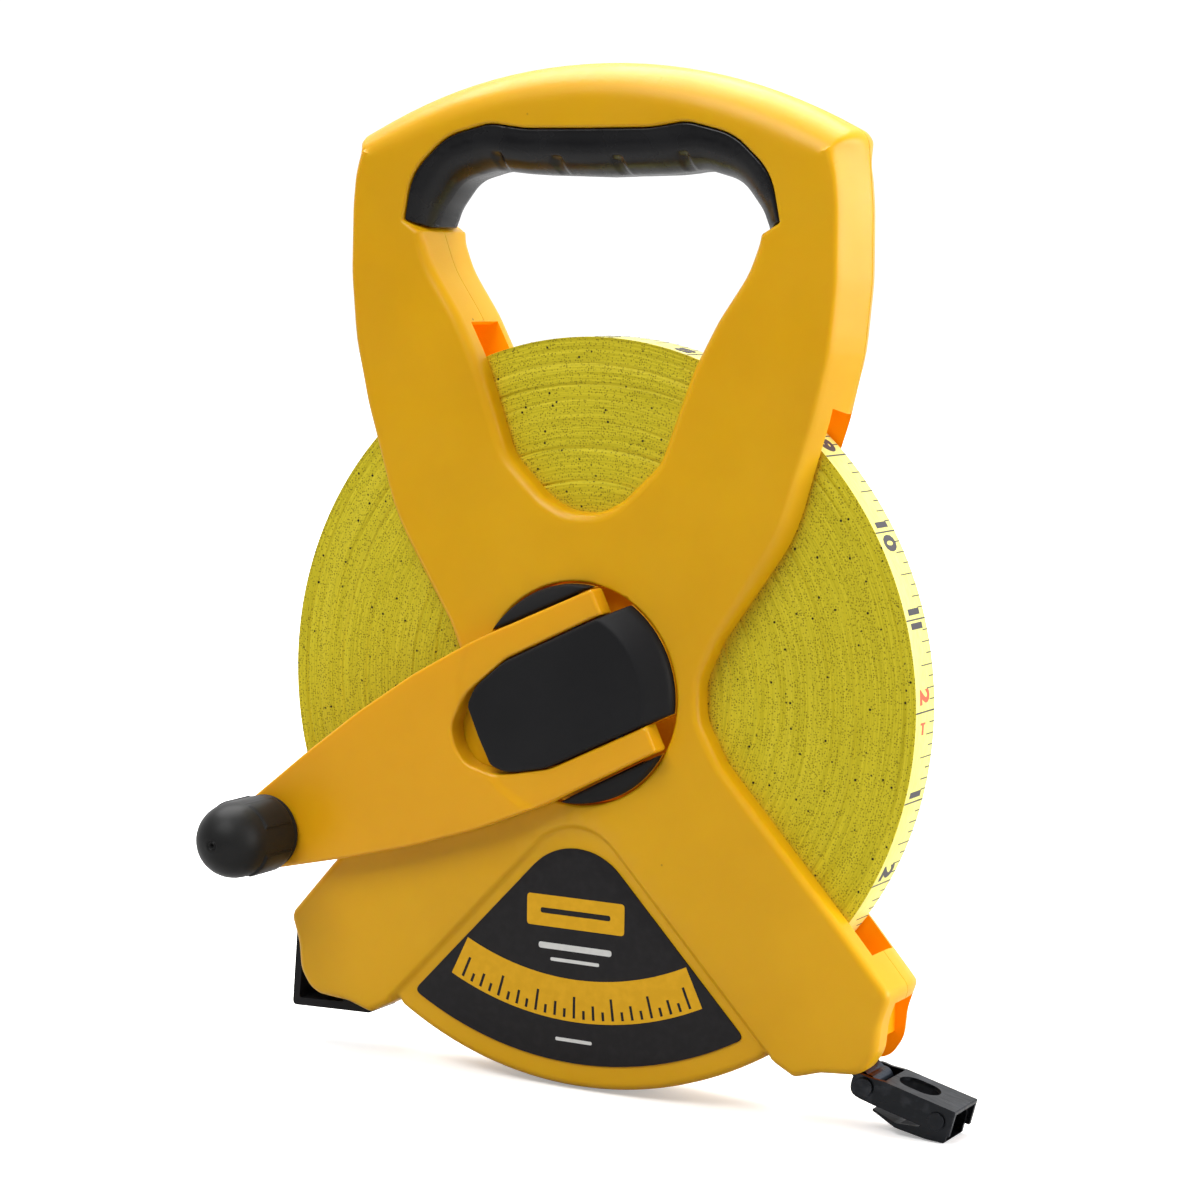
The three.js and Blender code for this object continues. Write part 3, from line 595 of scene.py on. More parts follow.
def tape_edge_finish():
    """The wound pack's side: hundreds of woven edges with dark specks caught between them."""
    finish = Finish("tape_edges", (0.50, 0.44, 0.04), 0.62, Specular_IOR_Level=0.2)
    flat = finish.vector("MULTIPLY", {0: finish.place, 1: (1, 0, 1)})
    radius = finish.vector("LENGTH", {0: flat}, "Value")
    round_way = finish.vector("NORMALIZE", {0: flat})
    depth = finish.add(radius, finish.times(finish.noise(5, 1, round_way), 0.0007))
    swept = finish.vector("SCALE", {0: round_way, 3: 3.0})
    parts = finish.node("ShaderNodeSeparateXYZ", {0: swept}).outputs
    turns = finish.times(depth, 1 / (TAPE_THICK * MM))
    layered = finish.node("ShaderNodeCombineXYZ", {0: parts["X"], 1: turns, 2: parts["Z"]}).outputs[0]
    layers = finish.noise(1.1, 2, layered)
    bands = finish.noise(0.16, 2, layered)
    tone = finish.mix(finish.between(layers, 0.34, 0.66), (0.50, 0.415, 0.010), (0.66, 0.555, 0.022))
    tone = finish.mix(finish.between(bands, 0.5, 0.75, 0, 0.4), tone, (0.74, 0.625, 0.04))
    knots = finish.dots(1350.0, 0.75, 0.20, 0.42)
    patchy = finish.between(finish.noise(500, 2), 0.30, 0.50)
    tone = finish.mix(finish.times(finish.times(knots, patchy), 0.85), tone, (0.20, 0.155, 0.004))
    dirt = finish.dots(300.0, 1.0, 0.09, 0.14)
    where = finish.between(finish.noise(150, 2), 0.40, 0.45)
    tone = finish.mix(finish.times(dirt, where), tone, (0.018, 0.016, 0.004))
    finish.colour(tone)
    finish.bump(finish.add(layers, finish.times(knots, -0.6)), 0.2, 0.00012)
    return finish.material


def tape_face_finish():
    """Printed face of the tape: glass yarn showing faintly under a yellow coat."""
    finish = Finish("tape_face", (0.83, 0.78, 0.22), 0.42, Specular_IOR_Level=0.4)
    threads = finish.noise(1, 2, finish.stretched((300, 2200, 300)))
    finish.colour(finish.mix(finish.between(threads, 0.35, 0.7), (0.86, 0.81, 0.24), (0.76, 0.70, 0.16)))
    finish.bump(threads, 0.15, 0.0001)
    return finish.material


def printed(name, colour, roughness):
    """Ink or a printed patch, a little uneven."""
    finish = Finish(name, colour, roughness, Specular_IOR_Level=0.14)
    lighter = tuple(min(1, c * 1.08 + 0.002) for c in colour)
    finish.colour(finish.mix(finish.between(finish.noise(420, 3), 0.4, 0.7), colour, lighter))
    finish.bump(finish.noise(1500, 2), 0.08, 0.00005)
    return finish.material


def rubber(name, colour, roughness, specular):
    """Soft black grip with a fine grain and faint rub marks."""
    finish = Finish(name, colour, roughness, Specular_IOR_Level=specular)
    paler = tuple(c * 1.4 + 0.001 for c in colour)
    finish.colour(finish.mix(finish.between(finish.noise(45, 5), 0.45, 0.75), colour, paler))
    finish.rough(finish.between(finish.noise(90, 4), 0.3, 0.7, roughness - 0.07, roughness + 0.08))
    finish.bump(finish.noise(2600, 2), 0.16, 0.00012)
    return finish.material


YELLOW = moulded(
    "yellow_plastic", (0.70, 0.372, 0.002), (0.65, 0.335, 0.0015), 0.36,
    specks=0.8, specular=0.30, glow=0.2,
)
CRANK_YELLOW = moulded(
    "crank_plastic", (0.76, 0.365, 0.004), (0.71, 0.335, 0.003), 0.34,
    specks=0.4, specular=0.35, glow=0.2,
)
# Painted glow and painted bounce: a deeper orange copy of the yellow plastic that also gives off light.
# The shell's cutters pass it to the walls of the pockets, cavity and mouths, standing in for light that
# comes through and bounces round the hollows.
PAINTED_GLOW_PLASTIC = moulded(
    "painted_glow_plastic", (0.85, 0.30, 0.001), (0.80, 0.27, 0.001), 0.5, specular=0.1, painted_glow=0.27,
)
# Painted glow: the drum's plastic gives off a faint orange light, lightening its rim where it lies in
# shade between the shell's opening and the hub disc.
DRUM_PAINTED_GLOW = moulded(
    "drum_plastic_painted_glow", (0.76, 0.36, 0.004), (0.71, 0.33, 0.003), 0.4, specular=0.2, painted_glow=0.07,
)
BLACK = moulded("black_plastic", (0.014, 0.014, 0.015), (0.010, 0.010, 0.011), 0.50, specular=0.14)
RUBBER = rubber("grip_rubber", (0.008, 0.008, 0.009), 0.26, 0.28)
KNOB_RUBBER = rubber("knob_rubber", (0.010, 0.010, 0.010), 0.42, 0.16)
LABEL = printed("label_black", (0.016, 0.015, 0.016), 0.34)
LABEL_YELLOW = printed("label_yellow", (0.68, 0.36, 0.012), 0.4)
LABEL_PALE = printed("label_pale", (0.62, 0.62, 0.60), 0.4)
INK = printed("black_ink", (0.075, 0.070, 0.080), 0.45)
RED_INK = printed("red_ink", (0.66, 0.13, 0.07), 0.45)
TAPE_EDGES = tape_edge_finish()
TAPE_FACE = tape_face_finish()
STEEL = metal("zinc_steel", (0.62, 0.63, 0.65), (0.80, 0.80, 0.80), 0.30)
BLACKENED = metal("blackened_steel", (0.030, 0.032, 0.036), (0.085, 0.090, 0.105), 0.34)
BARREL = metal("dark_barrel", (0.050, 0.060, 0.080), (0.09, 0.105, 0.135), 0.32)
BUSH = moulded("bush_nylon", (0.78, 0.75, 0.66), (0.70, 0.67, 0.58), 0.5)


# ------------------------------------------------------------ shells
def side_draft(places):
    """1 along the handle's sides, which slope straight from the face to the parting line."""
    z = places[:, 1]
    return smooth(z, 5, 95) * (1 - smooth(z, 148, 160))


def front_edge_width(places):
    z = places[:, 1]
    return 2.2 + 3.5 * smooth(z, 5, 90) + 5.3 * smooth(z, 145, 166)


def front_edge_depth(places):
    return 2.2 + 11.4 * smooth(places[:, 1], 5, 95)


def rear_edge_width(places):
    z = places[:, 1]
    return 5.5 + 1.5 * smooth(z, 30, 90) + 5.0 * smooth(z, 145, 166)


def opening_edge_width(places):
    return 3.2 - 2.3 * smooth(places[:, 1], 126, 134)


def rear_opening_width(places):
    return 5.0 - 4.0 * smooth(places[:, 1], 126, 134)


POCKET_TOP = 128
POCKET_INSET = 6.2
PANEL_LINE = rounded(mirrored(PANEL_HALF))


def panel_distance(points):
    """Distance outside the recessed panel's edge, negative within it."""
    distances, _ = measure(points, PANEL_LINE)
    return np.where(inside(points, [PANEL_LINE]), -distances, distances)


def shell_face(points):
    """Height of the frame's face: flat, with the soft-edged panel sunk between the feet."""
    sunk = 1 - smooth(panel_distance(points), -PANEL_SOFTNESS, PANEL_SOFTNESS)
    return HALF_THICK - PANEL_DEPTH * sunk


def below(loop, level):
    """A loop with everything over a level pressed down to it."""
    return np.stack([loop[:, 0], np.minimum(loop[:, 1], level)], 1)


def panel_lines():
    """Lines along the panel's edge that carry its soft step."""
    edge = Edge(PANEL_LINE, 1, 1)
    shares = np.linspace(-1.15, 1.15, 9) * PANEL_SOFTNESS
    return [PANEL_LINE + edge.normals * share for share in shares]


def shell(front):
    """One half of the frame, hollowed round the reel and inside its walls."""
    frame_corners, opening_corners = mirrored(FRAME_HALF), mirrored(OPENING_HALF)
    outer, opening = rounded(frame_corners), rounded(opening_corners)
    if front:
        edges = [
            Edge(outer, front_edge_width, front_edge_depth, draft=side_draft),
            Edge(opening, opening_edge_width, opening_edge_width, solid_inside=False),
            Edge(circle(HUB_OPENING), 0.7, 0.7, solid_inside=False),
        ]
    else:
        edges = [
            Edge(outer, rear_edge_width, HALF_THICK - 0.5, draft=side_draft),
            Edge(opening, rear_opening_width, rear_opening_width, solid_inside=False),
        ]
    solid = plate(edges, shell_face, PARTING_GAP, panel_lines())
    piece = make("front_half" if front else "rear_half", on_side(solid, front), YELLOW)
    bosses = [circle(SCREW_BOSS_RADIUS, x, z, 24) for x, z in SCREWS if z < POCKET_TOP - 5]
    middle = circle(HUB_OPENING + HUB_WALL, sides=72) if front else circle(AXLE_BOSS_RADIUS, sides=48)
    pocket = [
        below(rounded(inset_corners(frame_corners, POCKET_INSET), 6), POCKET_TOP),
        below(rounded(inset_corners(opening_corners, -WALL), 6), POCKET_TOP), middle, *bosses,
    ]
    mouth = np.array(MOUTH, float)
    roof = HALF_THICK - SKIN if front else CAVITY_HALF
    # The cutters hand the painted-glow plastic to the walls they cut: painted light inside the pockets,
    # cavity and mouths.
    cutters = [
        make("pocket", on_side(prism(pocket, roof, -1), front), PAINTED_GLOW_PLASTIC),
        make("cavity", prism([circle(CAVITY_RADIUS, sides=240)], CAVITY_HALF, -CAVITY_HALF), PAINTED_GLOW_PLASTIC),
        make("mouths", prism([mouth, mouth * [-1, 1]], MOUTH_HALF_DEPTH, -MOUTH_HALF_DEPTH), PAINTED_GLOW_PLASTIC),
    ]
    if not front:
        heads = [circle(AXLE_HEAD_HOLE, sides=48), *[circle(SCREW_HEAD_HOLE, x, z, 32) for x, z in SCREWS]]
        shanks = [circle(AXLE_HOLE, sides=32), *[circle(SCREW_HOLE, x, z, 20) for x, z in SCREWS]]
        cutters += [
            make("heads", prism(heads, -HEAD_FLOOR, -BEYOND), YELLOW),
            make("shanks", prism(shanks, 1, -BEYOND), YELLOW),
        ]
    return carve(piece, *cutters)


settle(shell(True), "frame", "frame_yellow", "front_shell")
settle(shell(False), "frame", "frame_yellow", "rear_shell")


# ------------------------------------------------------------ grip
GROOVES = (-30, -10.5, 9, 29.5)
GROOVE_HALF_WIDTH = 1.6
GROOVE_DEPTH = 1.1
FINGER_WIDTH = 9.5
FINGER_DEPTH = 12.6
FINGER_LINE_END = 122
SEAT_LINE_END = 131
SEAT_STEP = 0.35
BELOW_GRIP = (0, 60, 0)


def grip():
    """Rubber grip: flat against its seat, rounded under the fingers, square at its ends."""
    corners = inset_corners(mirrored([*SEAT_HALF, *reversed(FINGER_HALF)]), FIT_GAP)
    edge = Edge(rounded(corners, 1.0), 0.5, 0.5)
    half = [(x, z - FIT_GAP, r) for x, z, r in FINGER_HALF]
    beyond = (half[-1][0] + 2.4, half[-1][1] - 6, 0)
    outward = Edge(rounded(mirrored([*half[:-1], beyond, BELOW_GRIP]), 1.0), 1, 1)
    upper = outward.loop[:, 1] > FINGER_LINE_END
    fingers = outward.loop[upper]
    seat = rounded(mirrored([*SEAT_HALF, BELOW_GRIP]), 1.0)
    seat = seat[seat[:, 1] > SEAT_LINE_END]

    def gap_to(points, line):
        return np.min([np.hypot(*(points - place).T) for place in line], 0)

    def face(points):
        low = gap_to(points, fingers)
        share = np.clip(low / FINGER_WIDTH, 0, 1)
        height = HALF_THICK - 0.5 - FINGER_DEPTH * (1 - np.sqrt(1 - (1 - share) ** 2))
        height -= SEAT_STEP * smooth(gap_to(points, seat), 1.5, 2.3)
        for x in GROOVES:
            near = np.exp(-((points[:, 0] - x) / GROOVE_HALF_WIDTH) ** 4)
            height -= GROOVE_DEPTH * near * (1 - smooth(low, 4.6, 6.4))
        return height

    falls = [1 - math.cos(math.radians(a)) for a in (8, 14, 20, 27, 34, 41, 48, 56, 64, 72, 80, 90)]
    lines = [fingers - outward.normals[upper] * fall * FINGER_WIDTH for fall in falls]
    lines += [np.stack([np.full(36, x + dx), np.linspace(144.5, 155, 36)], 1)
              for x in GROOVES for dx in np.linspace(-2.2, 2.2, 12)]
    return make("grip", plate([edge], face, None, lines, pitch=1.4, gap=0.26), RUBBER, smooth_angle=50)


settle(grip(), "frame", "grip_rubber", "handle_grip")


# ------------------------------------------------------------ labels
LABEL_FACE = HALF_THICK - PANEL_DEPTH + 0.05 + LABEL_THICK
PRINT_THICK = 0.06


def sector(inner, outer, start, end):
    """A band between two radii, angles in degrees."""
    steps = 40
    far = [(x, z) for x, z, _ in arc(0, 0, outer, start, end, steps)]
    near = [(x, z) for x, z, _ in arc(0, 0, inner, end, start, steps)]
    return np.array(far + near)


def bar(cx, cz, half_width, half_height, radius):
    """A rounded rectangle."""
    signs = ((-1, 1), (1, 1), (1, -1), (-1, -1))
    return rounded([(cx + half_width * i, cz + half_height * j, radius) for i, j in signs], 3)


SCALE_INNER = 83.2
SCALE_OUTER = 95.6
SCALE_HALF_SWEEP = 25.6
LABEL_TICK_OUTER = 94.6
LABEL_TICK_ANGLE = 1.95
LABEL_TICK_HALF_SWEEP = 0.27
LABEL_TICKS = {0: 6.4, 2: 4.2}
SHORT_LABEL_TICK = 2.6


def label_art():
    """A plain ruler drawing: a rounded bar, three short lines and a curved scale with its ticks."""
    yellow = [[bar(0, -64, 16, 4.6, 1.2), bar(0, -64, 11.5, 0.8, 0.8)]]
    pale = [[bar(0, -74.2, 12, 0.9, 0.9)], [bar(0, -78, 8, 0.5, 0.5)], [bar(0, -101.2, 6, 0.5, 0.5)]]
    ticks = []
    for i in range(-12, 13):
        start = LABEL_TICK_OUTER - LABEL_TICKS.get(i % 4, SHORT_LABEL_TICK)
        middle = -90 + i * LABEL_TICK_ANGLE
        sweep = (middle - LABEL_TICK_HALF_SWEEP, middle + LABEL_TICK_HALF_SWEEP)
        ticks.append(sector(start, LABEL_TICK_OUTER, *sweep))
    band = sector(SCALE_INNER, SCALE_OUTER, -90 - SCALE_HALF_SWEEP, -90 + SCALE_HALF_SWEEP)
    yellow.append([band, *ticks])
    return yellow, pale


def label(front):
    def face(points):
        return np.full(len(points), LABEL_FACE)

    name = "front" if front else "rear"
    edge = Edge(rounded(mirrored(LABEL_HALF)), 0.35, 0.3)
    card = plate([edge], face, LABEL_FACE - LABEL_THICK)
    settle(make(name + "_label_plate", on_side(card, front), LABEL), "frame", "label", name + "_label")
    inks = (("yellow", LABEL_YELLOW), ("pale", LABEL_PALE))
    for (colour, material), groups in zip(inks, label_art()):
        art = gathered([prism(loops, LABEL_FACE + PRINT_THICK, LABEL_FACE - 0.02) for loops in groups])
        settle(make(f"{name}_label_{colour}", on_side(art, front), material), "frame", "label")


label(True)
label(False)


# ------------------------------------------------------------ wound tape
PACK_SIDES = 240
WINDING_GAPS = (44.5, 52.8, 60.1, 69.3, 76.4, 83.9, 88.2, 93.7, 97.6)


def side_recess(radii, angles):
    """How far each place on the pack's side lies under the tape's full width."""
    rng = np.random.default_rng(7)
    layer = np.floor((radii - CORE_RADIUS) / TAPE_THICK).astype(int)
    uneven = rng.uniform(0.02, 0.09, layer.max() + 2)[layer]
    slow = 0.06 * (1 + np.sin(radii / 3.1 + 1.3 * np.sin(radii / 7)))
    recess = np.tile((uneven + slow)[:, None], (1, len(angles)))
    for i, gap in enumerate(WINDING_GAPS):
        place = gap + 0.5 * np.sin(3 * angles + i) + 0.35 * np.sin(7 * angles + 2.1 * i)
        strength = 0.42 * (0.55 + 0.45 * np.sin(2 * angles + 1.7 * i))
        recess += strength * np.exp(-((radii[:, None] - place) / 0.45) ** 2)
    return recess


def tape_pack():
    """The wound tape as one solid: layered sides, a smooth printed face and the bore."""
    count = int((PACK_RADIUS - CORE_RADIUS) / TAPE_THICK)
    starts = CORE_RADIUS + 0.15 + np.arange(count) * TAPE_THICK
    radii = np.sort(np.concatenate([starts + 0.10, starts + 0.36]))
    groove = np.tile([0.05, 0.0], count)
    angles = np.linspace(0, 2 * math.pi, PACK_SIDES, endpoint=False)
    recess = side_recess(radii, angles) + groove[:, None]
    recess[-2:] *= 0.25
    wander = 0.30 * np.sin(math.pi * (radii - CORE_RADIUS) / (PACK_RADIUS - CORE_RADIUS))[:, None]
    wander = wander * np.sin(3 * angles[None] + radii[:, None] / 9)
    ring_radii = [np.full(PACK_SIDES, CORE_RADIUS)]
    heights = [np.full(PACK_SIDES, TAPE_HALF - 0.3)]
    for k in range(len(radii)):
        ring_radii.append(radii[k] + wander[k])
        heights.append(TAPE_HALF - recess[k])
    for radius, height in ((PACK_RADIUS - 0.06, TAPE_HALF - 0.01), (PACK_RADIUS, TAPE_HALF - 0.1)):
        ring_radii.append(np.full(PACK_SIDES, radius))
        heights.append(np.full(PACK_SIDES, height))
    side = len(ring_radii)
    ring_radii += ring_radii[::-1]
    heights += [-h for h in heights[::-1]]
    r, h = np.array(ring_radii), np.array(heights)
    points = np.stack([r * np.cos(angles), -h, r * np.sin(angles)], 2).reshape(-1, 3)
    faces, indices = [], []
    rows = len(r)
    for i in range(rows):
        j = (i + 1) % rows
        for k in range(PACK_SIDES):
            n = (k + 1) % PACK_SIDES
            row, after = i * PACK_SIDES, j * PACK_SIDES
            faces.append((row + k, after + k, after + n, row + n))
            indices.append(1 if i in (side - 1, rows - 1) else 0)
    faces = [face[::-1] for face in faces]
    return make("wound_tape", (points, faces), TAPE_EDGES, TAPE_FACE, smooth_angle=40, indices=indices)


settle(tape_pack(), "reel", "tape_edge", "tape_pack")

# The printed scale: inch lines, eighths from the rear edge, and numbers that read down the tape.
FIRST_LINE = math.radians(44.1)
INCH_ANGLE = INCH / (PACK_RADIUS + 0.05)
INCHES_ROUND = int(2 * math.pi / INCH_ANGLE)
INCHES_IN_FOOT = 12
TICK_END = 2 * TAPE_HALF - 0.2
INCH_TICK_START = 0.2
TICK_LENGTHS = {4: 7.6, 2: 5.0, 6: 5.0}
SHORT_TICK = 3.2
FIRST_NUMBER = 9
FIRST_FOOT = 2
FIGURE_SIZE = 9.4
FIGURE_BASE = 3.0
FOOT_SIZE = 8.2


def wrapped(flat, line, raised=0.07):
    """Bends (down the tape, across it from the front edge, height) points onto the pack."""
    s, v, h = np.asarray(flat, float).T
    radius = PACK_RADIUS - 0.05 + h * (raised + 0.05)
    angle = line - s / PACK_RADIUS
    return np.stack([radius * np.cos(angle), v - TAPE_HALF, radius * np.sin(angle)], 1)


def tick(line, along, v0, v1, width):
    """A thin raised bar across the tape from v0 to v1, at a distance along from an inch line."""
    s0, s1 = along - width / 2, along + width / 2
    corners = [(s0, v0), (s1, v0), (s1, v1), (s0, v1)]
    flat = [(s, v, h) for h in (0, 1) for s, v in corners]
    faces = [(0, 1, 2, 3), (7, 6, 5, 4), (0, 4, 5, 1), (1, 5, 6, 2), (2, 6, 7, 3), (3, 7, 4, 0)]
    return wrapped(flat, line), faces


def figure(text, size):
    """Flat solid figures as (points, faces), starting at 0 and standing on 0."""
    curve = bpy.data.curves.new("figure", "FONT")
    curve.body = text
    curve.size = size
    curve.extrude = 0.5
    curve.resolution_u = 3
    curve.offset = 0.045 * size
    holder = bpy.data.objects.new("figure", curve)
    bpy.context.scene.collection.objects.link(holder)
    mesh = bpy.data.meshes.new_from_object(holder.evaluated_get(bpy.context.evaluated_depsgraph_get()))
    points = np.array([tuple(v.co) for v in mesh.vertices])
    faces = [tuple(p.vertices) for p in mesh.polygons]
    bpy.data.objects.remove(holder)
    bpy.data.meshes.remove(mesh)
    points[:, 2] = points[:, 2] + 0.5
    points[:, 0] -= points[:, 0].min()
    return points, faces


def figure_at(text, size, line, start, base):
    """start is where the figure begins down the tape, or where it ends if negative."""
    points, faces = figure(text, size)
    shift = start - points[:, 0].max() if start < 0 else start
    flat = points + [shift, base, 0]
    return wrapped(flat, line), [face[::-1] for face in faces]


def tape_scale():
    """The marks all round the pack: black ones, and the red feet with a small arrow each."""
    black, red = [], []
    number, foot = FIRST_NUMBER, FIRST_FOOT
    for i in range(INCHES_ROUND):
        line = FIRST_LINE - i * INCH_ANGLE
        for eighth in range(8):
            start = TICK_END - TICK_LENGTHS.get(eighth, SHORT_TICK) if eighth else INCH_TICK_START
            width = 0.3 if eighth else 0.42
            black.append(tick(line, eighth * INCH / 8, start, TICK_END, width))
        if number == INCHES_IN_FOOT:
            red.append(figure_at(str(foot), FOOT_SIZE, line, -2.0, 3.2))
            red.append(tick(line, 3.2, 3.4, 6.6, 0.6))
            red.append(tick(line, 4.8, 4.4, 5.6, 3.0))
            number, foot = 1, foot + 1
            continue
        first, rest = str(number)[0], str(number)[1:]
        black.append(figure_at(first, FIGURE_SIZE, line, -1.3, FIGURE_BASE))
        if rest:
            black.append(figure_at(rest, FIGURE_SIZE, line, 0.9, FIGURE_BASE))
        number += 1
    return gathered(black), gathered(red)


black_marks, red_marks = tape_scale()
settle(make("tape_scale_black", black_marks, INK), "reel", "tape_face")
settle(make("tape_scale_red", red_marks, RED_INK), "reel", "tape_face")


# ------------------------------------------------------------ crank and hub
def arm_outline():
    """The arm's one outline, with the open slot between its prongs."""
    end = arc(KNOB_AT, 0, ARM_END_RADIUS, 70, -70, 16)
    far_side = [(x, -z, r) for x, z, r in reversed(ARM_HALF)]
    return rounded([*ARM_HALF, *end, *far_side, *reversed(closed_about(SLOT_HALF))], 1.0)


def crank_arm():
    """A flat arm with soft edges, dished a little round the hub."""
    edge = Edge(arm_outline(), 0.9, 0.9)

    def face(points):
        reach = np.hypot(points[:, 0], points[:, 1])
        return ARM_FRONT - 0.55 * (1 - smooth(reach, 33.5, 36.5))

    lines = [circle(r, sides=150) for r in (32.6, 33.5, 34.1, 34.7, 35.3, 35.9, 36.5, 37.4)]
    shape = plate([edge], face, ARM_BACK, lines)
    return make("crank_lever", along_arm(shape), CRANK_YELLOW)


settle(crank_arm(), "crank", "crank_yellow", "crank_arm")

CAP_HALF_ACROSS = 16.4
CAP_SLOPE_START = 24.2


def hub_cap():
    """Black cap between the prongs: rounded edges, its far side sloping down to the shell."""
    edge_along = -math.sqrt(HUB_RIM ** 2 - CAP_HALF_ACROSS ** 2)
    reach = math.degrees(math.atan2(CAP_HALF_ACROSS, edge_along))
    corners = [
        (32.0, 0, 0), (31.7, 9.4, 3.5), (27.2, 13.3, 14), (15, CAP_HALF_ACROSS, 16),
        (edge_along, CAP_HALF_ACROSS, 0.4),
    ]
    far_side = arc(0, 0, HUB_RIM, reach, 360 - reach, 24)[1:-1]
    lower = [(x, -z, r) for x, z, r in reversed(corners) if z > 0]
    edge = Edge(rounded([*corners, *far_side, *lower], 0.9), 1.1, 1.0)

    def face(points):
        reach_out = np.hypot(points[:, 0], points[:, 1])
        past = np.maximum(reach_out - CAP_SLOPE_START, 0) * (points[:, 0] < 0)
        soft = past ** 2 / (past + 0.8)
        crown = 0.35 * (1 - (reach_out / 32) ** 2)
        return CAP_TOP - 0.35 + crown - 0.86 * soft

    slope_lines = [circle(r, sides=130) for r in (23.4, 24.2, 24.8, 25.6, 26.6, 28, 29.5)]
    shape = plate([edge], face, CAP_BACK, slope_lines, pitch=3)
    return make("hub_cover", along_arm(shape), BLACK)


settle(hub_cap(), "reel", "black_plastic", "hub_cap")


def hub_segment(sign):
    """A black segment of the hub beside the arm, falling away towards the rim."""
    inner = [(-18.4, 25.25, 0.3), (2, 25.9, 30), (17.2, 26.5, 0.3)]
    start = math.degrees(math.atan2(26.5, 17.2))
    end = math.degrees(math.atan2(25.25, -18.4))
    outer = arc(0, 0, HUB_RIM, start + 0.8, end - 0.8, 18)
    corners = [*inner, *reversed(outer)]
    if sign < 0:
        corners = [(x, -z, r) for x, z, r in corners]
    edge = Edge(rounded(corners, 0.7), 0.8, 0.7)

    def face(points):
        away = np.abs(points[:, 1]) - 25.2
        return 17.5 - 0.10 * away - 0.045 * away ** 2

    shape = plate([edge], face, CAP_BACK, pitch=1.5, gap=0.22)
    return make("hub_side_" + ("lower" if sign > 0 else "upper"), along_arm(shape), BLACK)


settle(hub_segment(-1), "reel", "black_plastic", "hub_segment_upper")
settle(hub_segment(1), "reel", "black_plastic", "hub_segment_lower")

KNOB_PANELS = 4
KNOB_SIDE = 11.25
KNOB_FOOT = ARM_FRONT + 0.5
PANELS_START = 24.1
PANELS_END = 37.9
DOME_BASE = 38.4


def knob():
    """Turning knob: a domed end with a small dimple, and four raised panels round its root."""
    top = KNOB_TIP - 0.12
    profile = [
        (0, 24), (3.2, 24), (3.2, KNOB_FOOT), (10.4, KNOB_FOOT), (11.2, ARM_FRONT + 1.1), (11.3, 22.9),
        (11.1, 23.2), (11.1, 23.9),
    ]
    profile += [(KNOB_SIDE, h) for h in (24.2, 24.5, 24.9, 27, 29, 31, 33, 35, 36.6, 37.4, 37.7, 38.0)]
    for a in np.radians([0, 9, 18, 27, 36, 45, 53, 60, 66, 72, 77]):
        profile.append((KNOB_SIDE * math.cos(a), DOME_BASE + (KNOB_TIP - DOME_BASE) * math.sin(a)))
    profile += [
        (2.0, top), (1.7, top), (1.3, top - 0.3), (1.05, top - 0.05), (0.75, top - 0.05),
        (0.5, top - 0.5), (0.35, top - 0.9), (0, top - 0.9),
    ]

    def panels(radius, height, angle):
        if not PANELS_START < height < PANELS_END or radius < 10:
            return 0
        rise = min(1, (height - PANELS_START) / 0.5, (PANELS_END - height) / 0.6)
        wave = math.cos(KNOB_PANELS * (angle - 0.35))
        ridge = 0.25 * max(0, 1 - abs(wave + 0.3) / 0.12)
        return rise * (0.6 * float(smooth(np.array(wave), -0.16, 0.02)) + ridge)

    points, faces = turned(profile, 144, panels)
    points = points + [KNOB_AT, 0, 0]
    return make("turning_knob", along_arm((points, faces)), KNOB_RUBBER, smooth_angle=42)


settle(knob(), "knob", "black_plastic", "crank_knob")


# ------------------------------------------------------------ CAD pieces that stay
def dress(node, material, rounding=0.0):
    """Gives a CAD node its finish and, where asked, softened edges."""
    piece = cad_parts[node]
    piece.data.materials.clear()
    piece.data.materials.append(material)
    weld = piece.modifiers.new("weld", "WELD")
    weld.merge_threshold = 0.000002
    if rounding:
        flat = piece.modifiers.new("flat", "DECIMATE")
        flat.decimate_type = "DISSOLVE"
        flat.angle_limit = math.radians(0.5)
        bevel = piece.modifiers.new("edges", "BEVEL")
        bevel.width = rounding * MM
        bevel.segments = 2
        bevel.limit_method = "ANGLE"
        bevel.angle_limit = math.radians(28)
        bevel.use_clamp_overlap = True
    return piece


for i in range(len(SCREWS)):
    dress(f"shell_screw_{i + 1}", STEEL, 0.12)
for node in ("axle", "rear_washer", "front_washer", "axle_screw", "knob_spindle"):
    dress(node, STEEL, 0.15)
for node in ("crank_hinge_pin_upper", "crank_hinge_pin_lower"):
    dress(node, BLACKENED, 0.1)
for node in ("hook_pin", "claw_rivet_front", "claw_rivet_rear"):
    dress(node, BLACKENED, 0.18)
dress("hook_body", BLACKENED, 0.22)
dress("hook_claw", BLACKENED, 0.15)
dress("tape_end_loop", BARREL, 0.15)
dress("tape_tail", TAPE_FACE)
dress("axle_bush", BUSH, 0.15)
# The drum's finish gives off a faint painted glow.
dress("spool_drum", DRUM_PAINTED_GLOW, 0.25)
dress("foot_insert", BLACK, 0.3)


